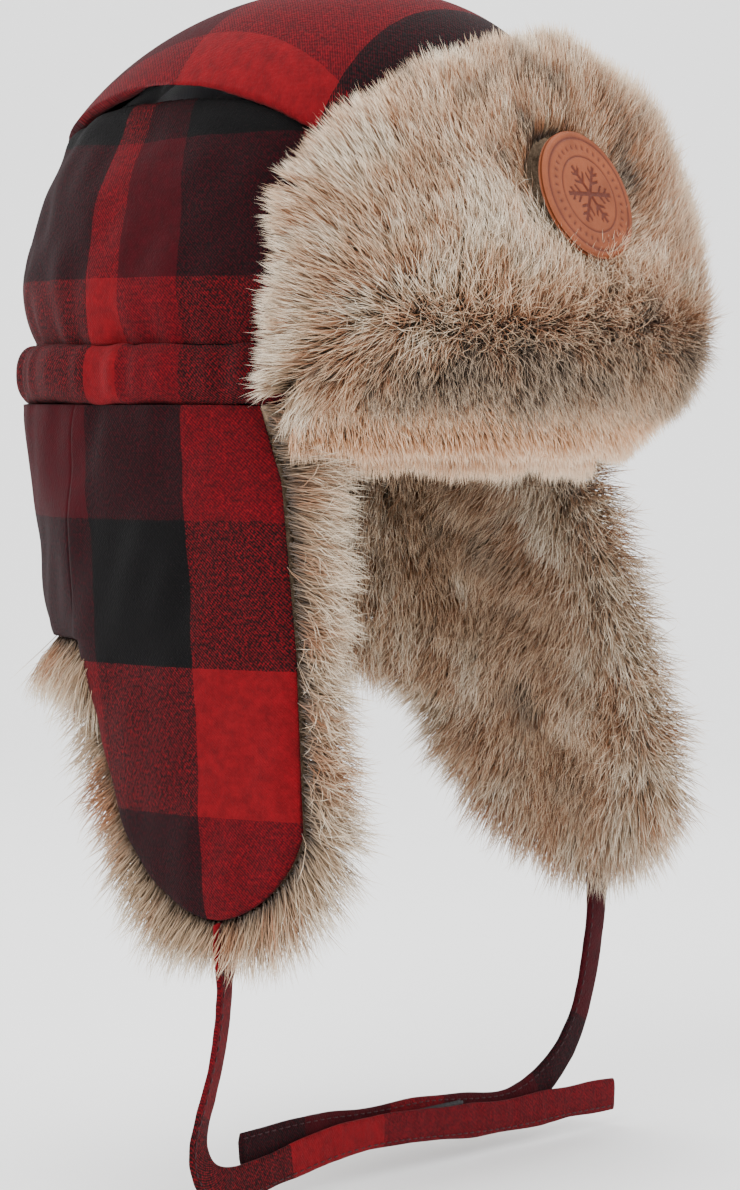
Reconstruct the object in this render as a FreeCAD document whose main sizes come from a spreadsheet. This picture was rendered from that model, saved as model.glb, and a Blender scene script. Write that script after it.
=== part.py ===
import FreeCAD, Part
import math
import os
import Sketcher

# A trapper hat: a wadded, lined crown over a gathered roll, a furred nape and two furred ear flaps
# with ties, and a furred front flap that is turned up.
# Frame: origin at the centre of the head opening, +Z up, the wearer faces -Y, the wearer's right is -X.
# Lengths are in millimetres.

Vector = FreeCAD.Vector
Rotation = FreeCAD.Rotation
Placement = FreeCAD.Placement

document = FreeCAD.newDocument("trapper_hat")
sheet = document.addObject("Spreadsheet::Sheet", "Sizes")

SIZES = {
    # head opening and crown
    "half_depth": 108,  # half the crown's length, front to back
    "side_step": 14,  # how much less its half width is
    "crown_height": 143,  # head opening to the top of the crown
    "top_half_length": 107,  # the long top panel
    "top_half_width": 79,
    "top_forward": 14,  # its centre, in front of the crown's centre
    # cloth layers
    "cloth_thick": 1.2,
    "wadding_thick": 4,
    "lining_thick": 1.2,
    "pile_thick": 12,  # fur backing and the dense foot of its pile
    "pile_overhang": 13,  # fur standing out past a cloth hem
    # gathered roll round the crown's foot
    "roll_height": 20,
    "roll_proud": 4,
    "elastic_height": 12,
    "elastic_thick": 1.2,
    # skirt that the ear flaps and the nape are cut from
    "seam_gap": 0.5,
    "skirt_mid_drop": 80,
    "skirt_low_drop": 200,
    "skirt_mid_forward": 20,
    "skirt_low_forward": 41,
    "flap_mid_step": 25,
    "flap_mid_flare": 14,
    "flap_low_step": 44,
    "flap_low_flare": 42,
    "nape_mid_flare": 4,
    "nape_drop": 82,
    "split_back": 28,  # seam between an ear flap and the nape, behind the centre
    # ear flap outline, from the centre of the head opening
    "flap_drop": 172,
    "flap_front_top": 62,
    "flap_front_low": 79,
    "flap_corner_drop": 142,
    "flap_tip_forward": 47,
    "flap_front_start": 45,
    "flap_front_drop": 25,
    "flap_back_low": 0,
    "flap_back_drop": 90,
    "flap_round_front": 36,
    "flap_round_back": 66,
    "hinge_out": 2,  # ear flap's fold line, outside the crown
    "left_splay": 5,  # degrees that the left flap stands out
    # turned-up front flap
    "brim_drop": 12,  # its fold line, below the head opening
    "brim_gap": 6,  # its cloth back to the crown at the fold
    "brim_belly_height": 30,
    "brim_belly": 20,
    "brim_top_height": 128,
    "brim_top_in": 20,
    "brim_top_forward": 12,
    "brim_side_step": 26,
    "brim_top_step": 8,
    "brim_ends": 66,  # its ends, in front of the centre
    "brim_half_width": 112,
    "brim_shoulder_out": 72,
    "brim_shoulder_height": 106,
    "brim_corner_height": 84,
    "brim_crest_round": 128,
    "stiffener_thick": 1.6,
    "brim_pile_foot": 17,
    "brim_pile_belly": 28,
    "brim_pile_top": 26,
    "brim_pile_step": 14,
    "brow_thick": 12,
    # round badge on the front flap
    "badge_radius": 23,
    "badge_thick": 3,
    "badge_height": 68,
    "badge_right": 8,
    "badge_forward": 126,
    "badge_lean": 20,
    "badge_fit": 0.3,
    # flat ties
    "tie_width": 12,
    "tie_thick": 2.2,
    "tie_front": 48.8,  # mid plane of the right tie, in front of the centre
    "tape_thick": 0.9,
    "tape_gap": 0.4,
    "tape_length": 60,
    "tape_width": 8,
    "tie_slot": 0.5,
    "tack_height": 7,
    "tack_width": 8,
    "tack_depth": 5,
}
CROWN_POWER = 2.4  # the crown's profile is a superellipse of this power
CROWN_LEVELS = (0.35, 0.6, 0.78, 0.9, 0.975)
FAR = 400  # longer than the hat in any direction


def fill_sheet():
    for row, (alias, number) in enumerate(SIZES.items(), start=1):
        sheet.set(f"A{row}", alias)
        sheet.set(f"B{row}", str(number))
        sheet.setAlias(f"B{row}", alias)
    document.recompute()


fill_sheet()


def cell(text):
    """A formula in the sheet's words, such as "half_depth - side_step", for setExpression."""
    words = text.replace("(", " ( ").replace(")", " ) ").split()
    return " ".join(f"Sizes.{word}" if word in SIZES else word for word in words)


def value(text):
    return float(sheet.evalExpression(cell(text)))


# ---------------------------------------------------------------- building blocks


def ring(name, half_depth, half_width, forward, height, start=90):
    """A level ellipse, longer from front to back, whose edge starts at the back, or the front at -90."""
    ellipse = document.addObject("Part::Ellipse", name)
    ellipse.Placement = Placement(Vector(), Rotation(Vector(0, 0, 1), start))
    ellipse.setExpression("MajorRadius", cell(half_depth))
    ellipse.setExpression("MinorRadius", cell(half_width))
    ellipse.setExpression("Placement.Base.y", cell(f"-1 * ( {forward} )"))
    ellipse.setExpression("Placement.Base.z", cell(height))
    return ellipse


def tower(name, rings, start=90):
    """A smooth closed solid through level ellipses: (half depth, half width, forward, height) each."""
    loft = document.addObject("Part::Loft", name)
    loft.Sections = [
        ring(f"{name}_ring_{i}", *sizes, start=start) for i, sizes in enumerate(rings)
    ]
    loft.Solid = True
    return loft


def box(name, low, high):
    """A block from its low corner to its high one, each three formulas."""
    block = document.addObject("Part::Box", name)
    for axis, size, start, end in zip("xyz", ("Length", "Width", "Height"), low, high):
        block.setExpression(size, cell(f"( {end} ) - ( {start} )"))
        block.setExpression(f"Placement.Base.{axis}", cell(start))
    return block


def join(kind, name, first, second):
    result = document.addObject(f"Part::{kind}", name)
    result.Base = first
    result.Tool = second
    return result


def cut(name, first, second):
    return join("Cut", name, first, second)


def common(name, first, second):
    return join("Common", name, first, second)


def outline(name, corners, turn):
    """A closed sketch through corners (across, up, radius of the arc to the next one or None)."""
    sketch = document.addObject("Sketcher::SketchObject", name)
    sketch.Placement = Placement(Vector(), turn)
    points = [Vector(value(across), value(up), 0) for across, up, _ in corners]
    for index, (_, _, radius) in enumerate(corners):
        start = points[index]
        end = points[(index + 1) % len(points)]
        if radius is None:
            sketch.addGeometry(Part.LineSegment(start, end), False)
        else:
            sketch.addGeometry(bulge(start, end, value(radius)), False)
    for index, (across, up, radius) in enumerate(corners):
        following = (index + 1) % len(corners)
        sketch.addConstraint(Sketcher.Constraint("Coincident", index, 2, following, 1))
        for kind, formula in (("DistanceX", across), ("DistanceY", up)):
            number = sketch.addConstraint(
                Sketcher.Constraint(kind, -1, 1, index, 1, value(formula))
            )
            sketch.setExpression(f"Constraints[{number}]", cell(formula))
        if radius is not None:
            number = sketch.addConstraint(
                Sketcher.Constraint("Radius", index, value(radius))
            )
            sketch.setExpression(f"Constraints[{number}]", cell(radius))
    return sketch


def bulge(start, end, radius):
    """The arc from start to end that swells to the right of the way from one to the other."""
    half = (end - start).Length / 2
    way = (end - start).normalize()
    side = Vector(way.y, -way.x, 0)
    height = radius - math.sqrt(radius**2 - half**2)
    middle = (start + end) * 0.5 + side * height
    return Part.Arc(start, middle, end)


def prism(name, sketch, direction):
    block = document.addObject("Part::Extrusion", name)
    block.Base = sketch
    block.DirMode = "Custom"
    block.Dir = direction
    block.LengthFwd = FAR
    block.Solid = True
    return block


# ---------------------------------------------------------------- crown

HALF_WIDTH = "half_depth - side_step"


def dome(name, inset):
    """The crown's form, drawn in by inset all over: straight up the roll, then rounded over."""
    rings = [(f"half_depth - {inset}", f"{HALF_WIDTH} - {inset}", "0", "0")]
    rings.append((rings[0][0], rings[0][1], "0", "roll_height"))
    for level in CROWN_LEVELS:
        share = (1 - level**CROWN_POWER) ** (1 / CROWN_POWER)
        rise = level / CROWN_LEVELS[-1]
        rings.append(
            (
                f"( half_depth - {inset} ) * {share:.4f}",
                f"( {HALF_WIDTH} - {inset} ) * {share:.4f}",
                "0",
                f"roll_height + ( crown_height - roll_height - {inset} ) * {rise:.4f}",
            )
        )
    return tower(name, rings, start=-90)


def layers(*names):
    """The sum of some cloth layers' thicknesses, as a formula."""
    return "( " + " + ".join(names) + " )" if names else "0"


CLOTH = layers("cloth_thick")
TO_WADDING = layers("cloth_thick", "wadding_thick")
TO_LINING = layers("cloth_thick", "wadding_thick", "lining_thick")

dome_outside = dome("dome_outside", "0")
dome_cloth = dome("dome_cloth", CLOTH)
dome_wadding = dome("dome_wadding", TO_WADDING)
dome_lining = dome("dome_lining", TO_LINING)


def wide(sign):
    return f"{sign} * {FAR}"


above_roll = box(
    "above_roll",
    (wide(-1), wide(-1), "roll_height"),
    (wide(1), wide(1), "crown_height + 10"),
)
right_half = box(
    "right_half", (wide(-1), wide(-1), wide(-1)), ("0", wide(1), wide(1))
)
left_half = box("left_half", ("0", wide(-1), wide(-1)), (wide(1), wide(1), wide(1)))

crown_cloth = common(
    "crown_cloth", cut("crown_skin", dome_outside, dome_cloth), above_roll
)
top_outline = tower(
    "top_outline",
    [
        ("top_half_length", "top_half_width", "top_forward", "0"),
        ("top_half_length", "top_half_width", "top_forward", "crown_height + 20"),
    ],
)
crown_sides = cut("crown_sides", crown_cloth, top_outline)
crown = {
    "crown_top_panel": common("crown_top_panel", crown_cloth, top_outline),
    "crown_side_panel_right": common("crown_side_right", crown_sides, right_half),
    "crown_side_panel_left": common("crown_side_left", crown_sides, left_half),
    "crown_wadding": cut("crown_wadding", dome_cloth, dome_wadding),
    "crown_lining": cut("crown_lining", dome_wadding, dome_lining),
}

# ---------------------------------------------------------------- roll and elastic

roll_levels = (("0", 0.3), ("0.25", 0.9), ("0.5", 1.0), ("0.75", 0.9), ("1", 0.3))
roll_outside = tower(
    "roll_outside",
    [
        (
            f"half_depth + roll_proud * {swell}",
            f"{HALF_WIDTH} + roll_proud * {swell}",
            "0",
            f"roll_height * {share}",
        )
        for share, swell in roll_levels
    ],
)


def elastic_ring(name, outset):
    return tower(
        name,
        [
            (
                f"half_depth + {outset}",
                f"{HALF_WIDTH} + {outset}",
                "0",
                f"( roll_height {sign} elastic_height ) / 2",
            )
            for sign in "-+"
        ],
    )


elastic_band = cut(
    "elastic_band",
    elastic_ring("elastic_outside", "elastic_thick"),
    elastic_ring("elastic_inside", "0"),
)
roll = {
    "elastic_band": elastic_band,
    "roll_casing": cut(
        "roll_casing", cut("roll_tube", roll_outside, dome_cloth), elastic_band
    ),
}

# ---------------------------------------------------------------- nape


def skirt(name, inset, mid_flare, mid_step, low_flare, low_step):
    """The skirt's form below the head opening, drawn in by inset."""
    top = (f"half_depth - {inset}", f"{HALF_WIDTH} - {inset}", "0", "0")
    mid = (
        f"half_depth + {mid_flare} - {inset}",
        f"half_depth + {mid_flare} - {mid_step} - {inset}",
        "skirt_mid_forward",
        "-1 * skirt_mid_drop",
    )
    low = (
        f"half_depth + {low_flare} - {inset}",
        f"half_depth + {low_flare} - {low_step} - {inset}",
        "skirt_low_forward",
        "-1 * skirt_low_drop",
    )
    return tower(name, [top, mid, low])


TO_PILE = layers("cloth_thick", "wadding_thick", "pile_thick")
DEPTHS = ("0", CLOTH, TO_WADDING, TO_PILE)
LAYER_NAMES = ("shell", "wadding", "fur")


def skirt_layers(name, *flares):
    """The skirt's cloth, wadding and fur as three rings, one inside the other."""
    forms = [skirt(f"{name}_form_{i}", depth, *flares) for i, depth in enumerate(DEPTHS)]
    return [
        cut(f"{name}_{layer}_ring", outer, inner)
        for layer, outer, inner in zip(LAYER_NAMES, forms, forms[1:])
    ]


def nape_block(name, overhang):
    return box(
        name,
        (wide(-1), "split_back + seam_gap", f"-1 * ( nape_drop + {overhang} )"),
        (wide(1), wide(1), "0"),
    )


nape = {}
nape_rings = skirt_layers(
    "nape", "nape_mid_flare", "side_step", "nape_mid_flare", "side_step"
)
for layer, tube in zip(LAYER_NAMES, nape_rings):
    overhang = "pile_overhang" if layer == "fur" else "0"
    block = nape_block(f"nape_{layer}_block", overhang)
    nape[f"nape_{layer}"] = common(f"nape_{layer}", tube, block)

# ---------------------------------------------------------------- ear flaps

YZ_PLANE = Rotation(Vector(1, 1, 1), 120)
XZ_PLANE = Rotation(Vector(1, 0, 0), 90)


def flap_corners(over):
    """An ear flap's outline, standing out by over past the cloth's hem."""
    top = "-1 * seam_gap"
    return [
        ("-1 * flap_front_start", top, None),
        ("-1 * flap_front_start", "-1 * flap_front_drop", None),
        (f"-1 * ( flap_front_top + {over} )", "-1 * flap_front_drop", None),
        (
            f"-1 * ( flap_front_low + {over} )",
            "-1 * flap_corner_drop",
            f"flap_round_front + {over}",
        ),
        (
            "-1 * flap_tip_forward",
            f"-1 * ( flap_drop + {over} )",
            f"flap_round_back + {over}",
        ),
        (f"flap_back_low + {over}", "-1 * flap_corner_drop", None),
        ("split_back", f"-1 * ( flap_back_drop + {over} / 2 )", None),
        ("split_back", top, None),
    ]


flap_rings = skirt_layers(
    "flap", "flap_mid_flare", "flap_mid_step", "flap_low_flare", "flap_low_step"
)
flap_outlines = {
    layer: outline(f"flap_{layer}_outline", flap_corners(over), YZ_PLANE)
    for layer, over in zip(LAYER_NAMES, ("0", "0", "pile_overhang"))
}
HINGE_X = value(f"{HALF_WIDTH} + hinge_out")
HINGE_Z = value("-1 * seam_gap")

# Each tie's route: points chosen by hand in its own plane, as (X, Z).
TIE_ROUTES = {
    "right": (
        (-98.8, -172.5),
        (-98.8, -191.5),
        (-101, -211.5),
        (-107, -229.5),
        (-114, -246),
        (-109, -259),
        (-94, -262.5),
        (-71, -259),
        (-38, -254.5),
        (-6, -255),
        (26, -258),
        (60, -260),
        (90, -259.5),
        (119, -260.5),
    ),
    "left": (
        (114.2, -172),
        (114.2, -188.5),
        (111, -205.5),
        (106, -223.5),
        (97, -239),
        (82, -251),
        (62, -257.5),
        (38, -256),
        (12, -252.5),
        (-18, -253),
        (-54, -250.5),
        (-87, -252),
    ),
}
TAPE_MIDDLE = (0, -254.8)
ARC_SHARE = 0.45  # of the shorter run, taken by the arc at a corner


def tie_plane(side):
    """Y of a tie's mid plane: the right tie is the front one, with both tapes between the two."""
    apart = value("tie_thick + 2 * tape_thick + tape_gap") if side == "left" else 0
    return -value("tie_front") + apart


def route_path(name, points):
    """Straight runs joined by tangent arcs, as large as the runs allow. Returns it and its length."""
    edges = []
    start = points[0]
    radii = []
    for before, corner, after in zip(points, points[1:], points[2:]):
        back = (before - corner).normalize()
        on = (after - corner).normalize()
        shorter = min((before - corner).Length, (after - corner).Length)
        half_turn = (math.pi - back.getAngle(on)) / 2
        setback = ARC_SHARE * shorter
        radius = setback / math.tan(half_turn)
        radii.append(radius)
        arc_in = corner + back * setback
        arc_out = corner + on * setback
        to_centre = (back + on).normalize() * (radius / math.cos(half_turn))
        middle = corner + to_centre - to_centre.normalize() * radius
        edges.append(Part.LineSegment(start, arc_in).toShape())
        edges.append(Part.Arc(arc_in, middle, arc_out).toShape())
        start = arc_out
    edges.append(Part.LineSegment(start, points[-1]).toShape())
    path = document.addObject("Part::Feature", name)
    path.Shape = Part.Wire(edges)
    print(name, "length", round(path.Shape.Length, 1), "radii", [round(r) for r in radii])
    return path


def make_tie(side):
    plane = tie_plane(side)
    points = [Vector(x, plane, z) for x, z in TIE_ROUTES[side]]
    path = route_path(f"{side}_tie_path", points)
    section = document.addObject("Part::Plane", f"{side}_tie_section")
    section.setExpression("Length", cell("tie_width"))
    section.setExpression("Width", cell("tie_thick"))
    first_way = (points[1] - points[0]).normalize()
    turn = Rotation(Vector(0, 0, -1), first_way)
    corner = Vector(-value("tie_width") / 2, -value("tie_thick") / 2, 0)
    section.Placement = Placement(points[0] + turn.multVec(corner), turn)
    tie = document.addObject("Part::Sweep", f"{side}_tie")
    tie.Sections = [section]
    tie.Spine = (path, [f"Edge{i + 1}" for i in range(len(path.Shape.Edges))])
    tie.Solid = True
    return tie


def make_tack(side):
    """The tack that sews the tie into the flap's lower hem."""
    x, z = TIE_ROUTES[side][0]
    plane = tie_plane(side)
    return box(
        f"{side}_tack",
        (f"{x} - tack_width / 2", f"{plane} - tack_depth / 2", f"{z}"),
        (f"{x} + tack_width / 2", f"{plane} + tack_depth / 2", f"{z} + tack_height"),
    )


def make_slot(side):
    """Room for the tie to hang through the fur below the hem."""
    x, z = TIE_ROUTES[side][0]
    plane = tie_plane(side)
    half_width = "( tie_width / 2 + tie_slot )"
    half_depth = "( tie_thick / 2 + tie_slot )"
    return box(
        f"{side}_slot",
        (f"{x} - {half_width}", f"{plane} - {half_depth}", f"{z} - 3 * pile_overhang"),
        (f"{x} + {half_width}", f"{plane} + {half_depth}", f"{z}"),
    )


def make_tape(side):
    """Hook tape on the back of the right tie, loop tape on the front of the left one."""
    x, z = TAPE_MIDDLE
    plane = tie_plane(side)
    near = "tie_thick / 2" if side == "right" else "-1 * ( tie_thick / 2 + tape_thick )"
    return box(
        f"{side}_tape",
        (f"{x} - tape_length / 2", f"{plane} + {near}", f"{z} - tape_width / 2"),
        (
            f"{x} + tape_length / 2",
            f"{plane} + {near} + tape_thick",
            f"{z} + tape_width / 2",
        ),
    )


def make_ear_flap(side):
    sign = -1 if side == "right" else 1
    splay = value("left_splay") if side == "left" else 0
    hinge = Vector(sign * HINGE_X, 0, HINGE_Z)
    swung = Placement(Vector(), Rotation(Vector(0, -sign, 0), splay), hinge)
    tack = make_tack(side)
    pieces = {}
    for layer, tube in zip(LAYER_NAMES, flap_rings):
        block = prism(f"{side}_{layer}_block", flap_outlines[layer], Vector(sign, 0, 0))
        hung = common(f"{side}_{layer}_hung", tube, block)
        hung.Placement = swung
        if layer == "fur":
            hung = cut(f"{side}_{layer}_slotted", hung, make_slot(side))
        pieces[f"{side}_flap_{layer}"] = cut(f"{side}_flap_{layer}", hung, tack)
    pieces[f"{side}_tie"] = make_tie(side)
    pieces[f"{side}_tie_tack"] = tack
    tape_name = "right_hook_tape" if side == "right" else "left_loop_tape"
    pieces[tape_name] = make_tape(side)
    return pieces


right_flap = make_ear_flap("right")
left_flap = make_ear_flap("left")

# ---------------------------------------------------------------- front flap and brow


def brim_form(name, foot, belly, top, widen):
    """The turned-up flap's form: its fold line, its belly and its crest stand out by these."""
    rings = []
    stations = (
        ("brim_gap", "side_step", foot, "0", "-1 * brim_drop"),
        ("brim_belly", "brim_side_step", belly, "0", "brim_belly_height"),
        ("-1 * brim_top_in", "brim_top_step", top, "brim_top_forward", "brim_top_height"),
    )
    for base, slimmer, proud, forward, height in stations:
        depth = f"half_depth + ( {base} ) + {proud}"
        rings.append((depth, f"{depth} - {slimmer} - {widen}", forward, height))
    crest = rings[-1]
    rings.append((crest[0], crest[1], crest[2], "brim_top_height + 20"))
    return tower(name, rings)


STIFF = "( cloth_thick + stiffener_thick )"
brim_back = brim_form("brim_back", "0", "0", "0", "0")
brim_cloth = brim_form("brim_cloth", CLOTH, CLOTH, CLOTH, "0")
brim_stiff = brim_form("brim_stiff", STIFF, STIFF, STIFF, "0")
brim_pile = brim_form(
    "brim_pile", "brim_pile_foot", "brim_pile_belly", "brim_pile_top", "brim_pile_step"
)
brim_corners = [
    ("-1 * brim_half_width", "-1 * brim_drop", None),
    ("brim_half_width", "-1 * brim_drop", None),
    ("brim_half_width", "brim_corner_height", None),
    ("brim_shoulder_out", "brim_shoulder_height", "brim_crest_round"),
    ("-1 * brim_shoulder_out", "brim_shoulder_height", None),
    ("-1 * brim_half_width", "brim_corner_height", None),
]
brim_outline = outline("brim_outline", brim_corners, XZ_PLANE)
brim_outline.setExpression("Placement.Base.y", cell("-1 * brim_ends"))
brim_block = prism("brim_block", brim_outline, Vector(0, -1, 0))


def badge_disc(name, radius, height):
    disc = document.addObject("Part::Cylinder", name)
    disc.setExpression("Radius", cell(radius))
    disc.setExpression("Height", cell(height))
    turn = Rotation(Vector(1, 0, 0), 90 - value("badge_lean"))
    centre = Vector(-value("badge_right"), -value("badge_forward"), value("badge_height"))
    disc.Placement = Placement(centre, turn)
    return disc


leather_badge = badge_disc("leather_badge", "badge_radius", "badge_thick")
badge_well = badge_disc("badge_well", "badge_radius + badge_fit", f"{FAR}")
brim_fur_all = common(
    "brim_fur_all", cut("brim_fur_ring", brim_pile, brim_stiff), brim_block
)
front_flap = {
    "front_flap_shell": common(
        "front_flap_shell", cut("brim_shell_ring", brim_cloth, brim_back), brim_block
    ),
    "front_flap_stiffener": common(
        "front_flap_stiffener", cut("brim_stiff_ring", brim_stiff, brim_cloth), brim_block
    ),
    "front_flap_fur": cut("front_flap_fur", brim_fur_all, badge_well),
    "leather_badge": leather_badge,
}


def brow_ring(name, inset):
    return tower(
        name,
        [
            (f"half_depth - {inset}", f"{HALF_WIDTH} - {inset}", "0", height)
            for height in ("seam_gap - brim_drop", "0")
        ],
    )


brow_block = box(
    "brow_block",
    (wide(-1), wide(-1), "-1 * brim_drop"),
    (wide(1), "-1 * brim_ends", "0"),
)
brow = {
    "brow_fur_band": common(
        "brow_fur_band",
        cut("brow_whole", brow_ring("brow_outside", "0"), brow_ring("brow_inside", "brow_thick")),
        brow_block,
    )
}

# ---------------------------------------------------------------- checks and export


def check_and_write():
    document.recompute()
    for item in document.Objects:
        if "Invalid" in item.State or "Error" in item.State:
            raise RuntimeError(f"{item.Name} did not build: {item.State}")
    nodes = {**crown, **roll, **nape, **right_flap, **left_flap, **front_flap, **brow}
    for label, item in nodes.items():
        item.Label = label
        if item.Shape.isNull() or not item.Shape.isValid() or not item.Shape.Solids:
            raise RuntimeError(f"{label} has no valid solid")
        print(label, len(item.Shape.Solids), "solid", round(item.Shape.Volume), "mm3")
    for side, pieces in (("right", right_flap), ("left", left_flap)):
        tie = pieces[f"{side}_tie"].Shape
        path = document.getObject(f"{side}_tie_path").Shape
        section = value("tie_width * tie_thick")
        print(side, "tie volume over section times length", tie.Volume / section / path.Length)
    os.makedirs("parts", exist_ok=True)
    for label, item in nodes.items():
        item.Shape.exportStep(f"parts/{label}.step")


check_and_write()
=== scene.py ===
import math

import bpy
import numpy as np
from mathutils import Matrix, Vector
from mathutils.bvhtree import BVHTree


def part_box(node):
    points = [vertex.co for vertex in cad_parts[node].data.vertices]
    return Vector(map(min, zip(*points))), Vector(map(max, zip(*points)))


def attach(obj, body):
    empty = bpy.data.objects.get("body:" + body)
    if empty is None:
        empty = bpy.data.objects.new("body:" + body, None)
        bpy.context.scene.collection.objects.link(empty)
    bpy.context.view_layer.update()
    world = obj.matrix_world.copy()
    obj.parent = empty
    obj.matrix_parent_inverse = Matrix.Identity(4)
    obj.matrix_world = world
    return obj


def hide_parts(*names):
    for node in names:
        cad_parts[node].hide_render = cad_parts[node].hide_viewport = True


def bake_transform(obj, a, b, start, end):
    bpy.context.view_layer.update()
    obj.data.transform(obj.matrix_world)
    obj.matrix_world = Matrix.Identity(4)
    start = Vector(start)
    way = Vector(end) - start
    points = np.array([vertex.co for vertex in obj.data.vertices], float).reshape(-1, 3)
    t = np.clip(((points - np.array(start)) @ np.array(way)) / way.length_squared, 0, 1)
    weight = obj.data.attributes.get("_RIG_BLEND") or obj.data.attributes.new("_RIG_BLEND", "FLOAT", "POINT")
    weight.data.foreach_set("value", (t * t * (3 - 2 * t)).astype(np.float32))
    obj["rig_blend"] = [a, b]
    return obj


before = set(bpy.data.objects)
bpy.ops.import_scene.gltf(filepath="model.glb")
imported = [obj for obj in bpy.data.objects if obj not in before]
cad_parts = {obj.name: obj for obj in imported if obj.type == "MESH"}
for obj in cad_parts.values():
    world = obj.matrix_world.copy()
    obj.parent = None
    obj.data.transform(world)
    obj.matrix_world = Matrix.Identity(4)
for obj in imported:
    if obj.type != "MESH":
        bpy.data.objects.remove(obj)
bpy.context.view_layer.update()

# A trapper hat: padded plaid crown, gathered roll, furred nape, ear flaps and turned-up front flap.
# Lengths here are in millimetres until a mesh is made; the wearer faces -Y and their right is -X.

MM = 0.001
TURN = 2 * math.pi


def lerp(a, b, share):
    return a + (b - a) * share


def smooth(x, low, high):
    """0 below low, 1 above high, with a soft rise between."""
    t = np.clip((x - low) / (high - low), 0, 1)
    return t * t * (3 - 2 * t)


def unit(vectors):
    return vectors / np.maximum(np.linalg.norm(vectors, axis=-1, keepdims=True), 1e-9)


def waves(points, wavelength, seed, count=16):
    """A smooth random field over points, about -1 to 1, whose bumps are a wavelength apart."""
    rng = np.random.default_rng(seed)
    way = unit(rng.normal(size=(count, 3)))
    pace = TURN / wavelength * rng.uniform(0.6, 1.5, count)
    phase = rng.uniform(0, TURN, count)
    angle = points @ (way * pace[:, None]).T + phase
    return np.sin(angle).sum(-1) * math.sqrt(1.0 / count)


def corner_box(node):
    low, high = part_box(node)
    return np.array(low) / MM, np.array(high) / MM


# ---------------------------------------------------------------- sizes from the frame

WADDING_HIGH = corner_box("crown_wadding")[1]
PANEL_HIGH = corner_box("crown_top_panel")[1]
BADGE_LOW, BADGE_HIGH = corner_box("leather_badge")
CLOTH = PANEL_HIGH[2] - WADDING_HIGH[2]  # cloth thickness
HALF_WIDTH = WADDING_HIGH[0] + CLOTH
HALF_DEPTH = WADDING_HIGH[1] + CLOTH
CROWN_TOP = PANEL_HIGH[2] - 0.5
ROLL_TOP = corner_box("roll_casing")[1][2]
PANEL_HALF_WIDTH = PANEL_HIGH[0]
PANEL_BACK = PANEL_HIGH[1]
PANEL_HALF_LENGTH = PANEL_BACK + 14
HINGE = HALF_WIDTH + 2
SPLAY = math.radians(5)

# ---------------------------------------------------------------- shader helpers


class Value:
    """A number, colour or vector in a material; Python's operators add its Math nodes."""

    def __init__(self, finish, socket):
        self.finish = finish
        self.socket = socket

    def maths(self, operation, *others):
        settings = {"operation": operation}
        inputs = dict(enumerate((self, *others)))
        return self.finish.add("ShaderNodeMath", settings, inputs)

    def __add__(self, other):
        return self.maths("ADD", other)

    def __sub__(self, other):
        return self.maths("SUBTRACT", other)

    def __mul__(self, other):
        return self.maths("MULTIPLY", other)

    def __rsub__(self, other):
        return (self * -1).maths("ADD", other)

    def __neg__(self):
        return self * -1

    __radd__ = __add__
    __rmul__ = __mul__

    def sine(self):
        return self.maths("SINE")

    def clamp(self):
        return self.maths("MAXIMUM", 0.0).maths("MINIMUM", 1.0)

    def above(self, edge):
        return self.maths("GREATER_THAN", edge)


class Finish:
    """A material: its shader's fixed sockets, and one method that makes every other node."""

    def __init__(self, name, **fixed):
        self.material = bpy.data.materials.new(name)
        self.material.use_nodes = True
        self.tree = self.material.node_tree
        self.shader = self.tree.nodes["Principled BSDF"]
        for socket, number in fixed.items():
            self.shader.inputs[socket.replace("_", " ")].default_value = number

    def add(self, kind, settings=None, inputs=None, output=0):
        node = self.tree.nodes.new(kind)
        for name, setting in (settings or {}).items():
            if name == "stops":
                set_stops(node.color_ramp, setting)
            elif name == "steps":
                node.color_ramp.interpolation = setting
            else:
                setattr(node, name, setting)
        for key, given in (inputs or {}).items():
            self.put(node.inputs[key], given)
        return Value(self, node.outputs[output])

    def put(self, socket, given):
        if isinstance(given, Value):
            self.tree.links.new(given.socket, socket)
        else:
            socket.default_value = given

    def surface(self, **inputs):
        for name, given in inputs.items():
            self.put(self.shader.inputs[name.replace("_", " ")], given)

    def mix(self, share, first, second, blend="MIX"):
        settings = {"data_type": "RGBA", "blend_type": blend}
        return self.add("ShaderNodeMix", settings, {0: share, 6: first, 7: second}, 2)

    def ramp(self, value, stops, steps="LINEAR"):
        return self.add("ShaderNodeValToRGB", {"stops": stops, "steps": steps}, {0: value})

    def place(self):
        """Where the point is on the hat at rest, in metres, carried by the mesh."""
        return self.add("ShaderNodeAttribute", {"attribute_name": "rest"}, output=1)

    def cloth(self):
        """Across and along the cloth, in millimetres."""
        flat = self.add("ShaderNodeUVMap", {"uv_map": "Cloth"})
        across = self.add("ShaderNodeSeparateXYZ", {}, {0: flat}, 0)
        along = self.add("ShaderNodeSeparateXYZ", {}, {0: flat}, 1)
        return across * (1 / MM), along * (1 / MM), flat

    def noise(self, vector, scale, detail=2.0, rough=0.5):
        inputs = {"Vector": vector, "Scale": scale, "Detail": detail, "Roughness": rough}
        return self.add("ShaderNodeTexNoise", {}, inputs)

    def bump(self, height, strength, distance):
        inputs = {"Height": height, "Strength": strength, "Distance": distance}
        return self.add("ShaderNodeBump", {}, inputs)


def set_stops(ramp, stops):
    while len(ramp.elements) > 1:
        ramp.elements.remove(ramp.elements[-1])
    ramp.elements[0].position = stops[0][0]
    ramp.elements[0].color = stops[0][1]
    for position, colour in stops[1:]:
        ramp.elements.new(position).color = colour


def colour(red, green, blue):
    """An sRGB colour of 0 to 255 as the linear colour that a socket takes."""
    shares = [c / 255 for c in (red, green, blue)]
    linear = [c / 12.92 if c < 0.04 else ((c + 0.055) / 1.055) ** 2.4 for c in shares]
    return (*linear, 1.0)


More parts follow.
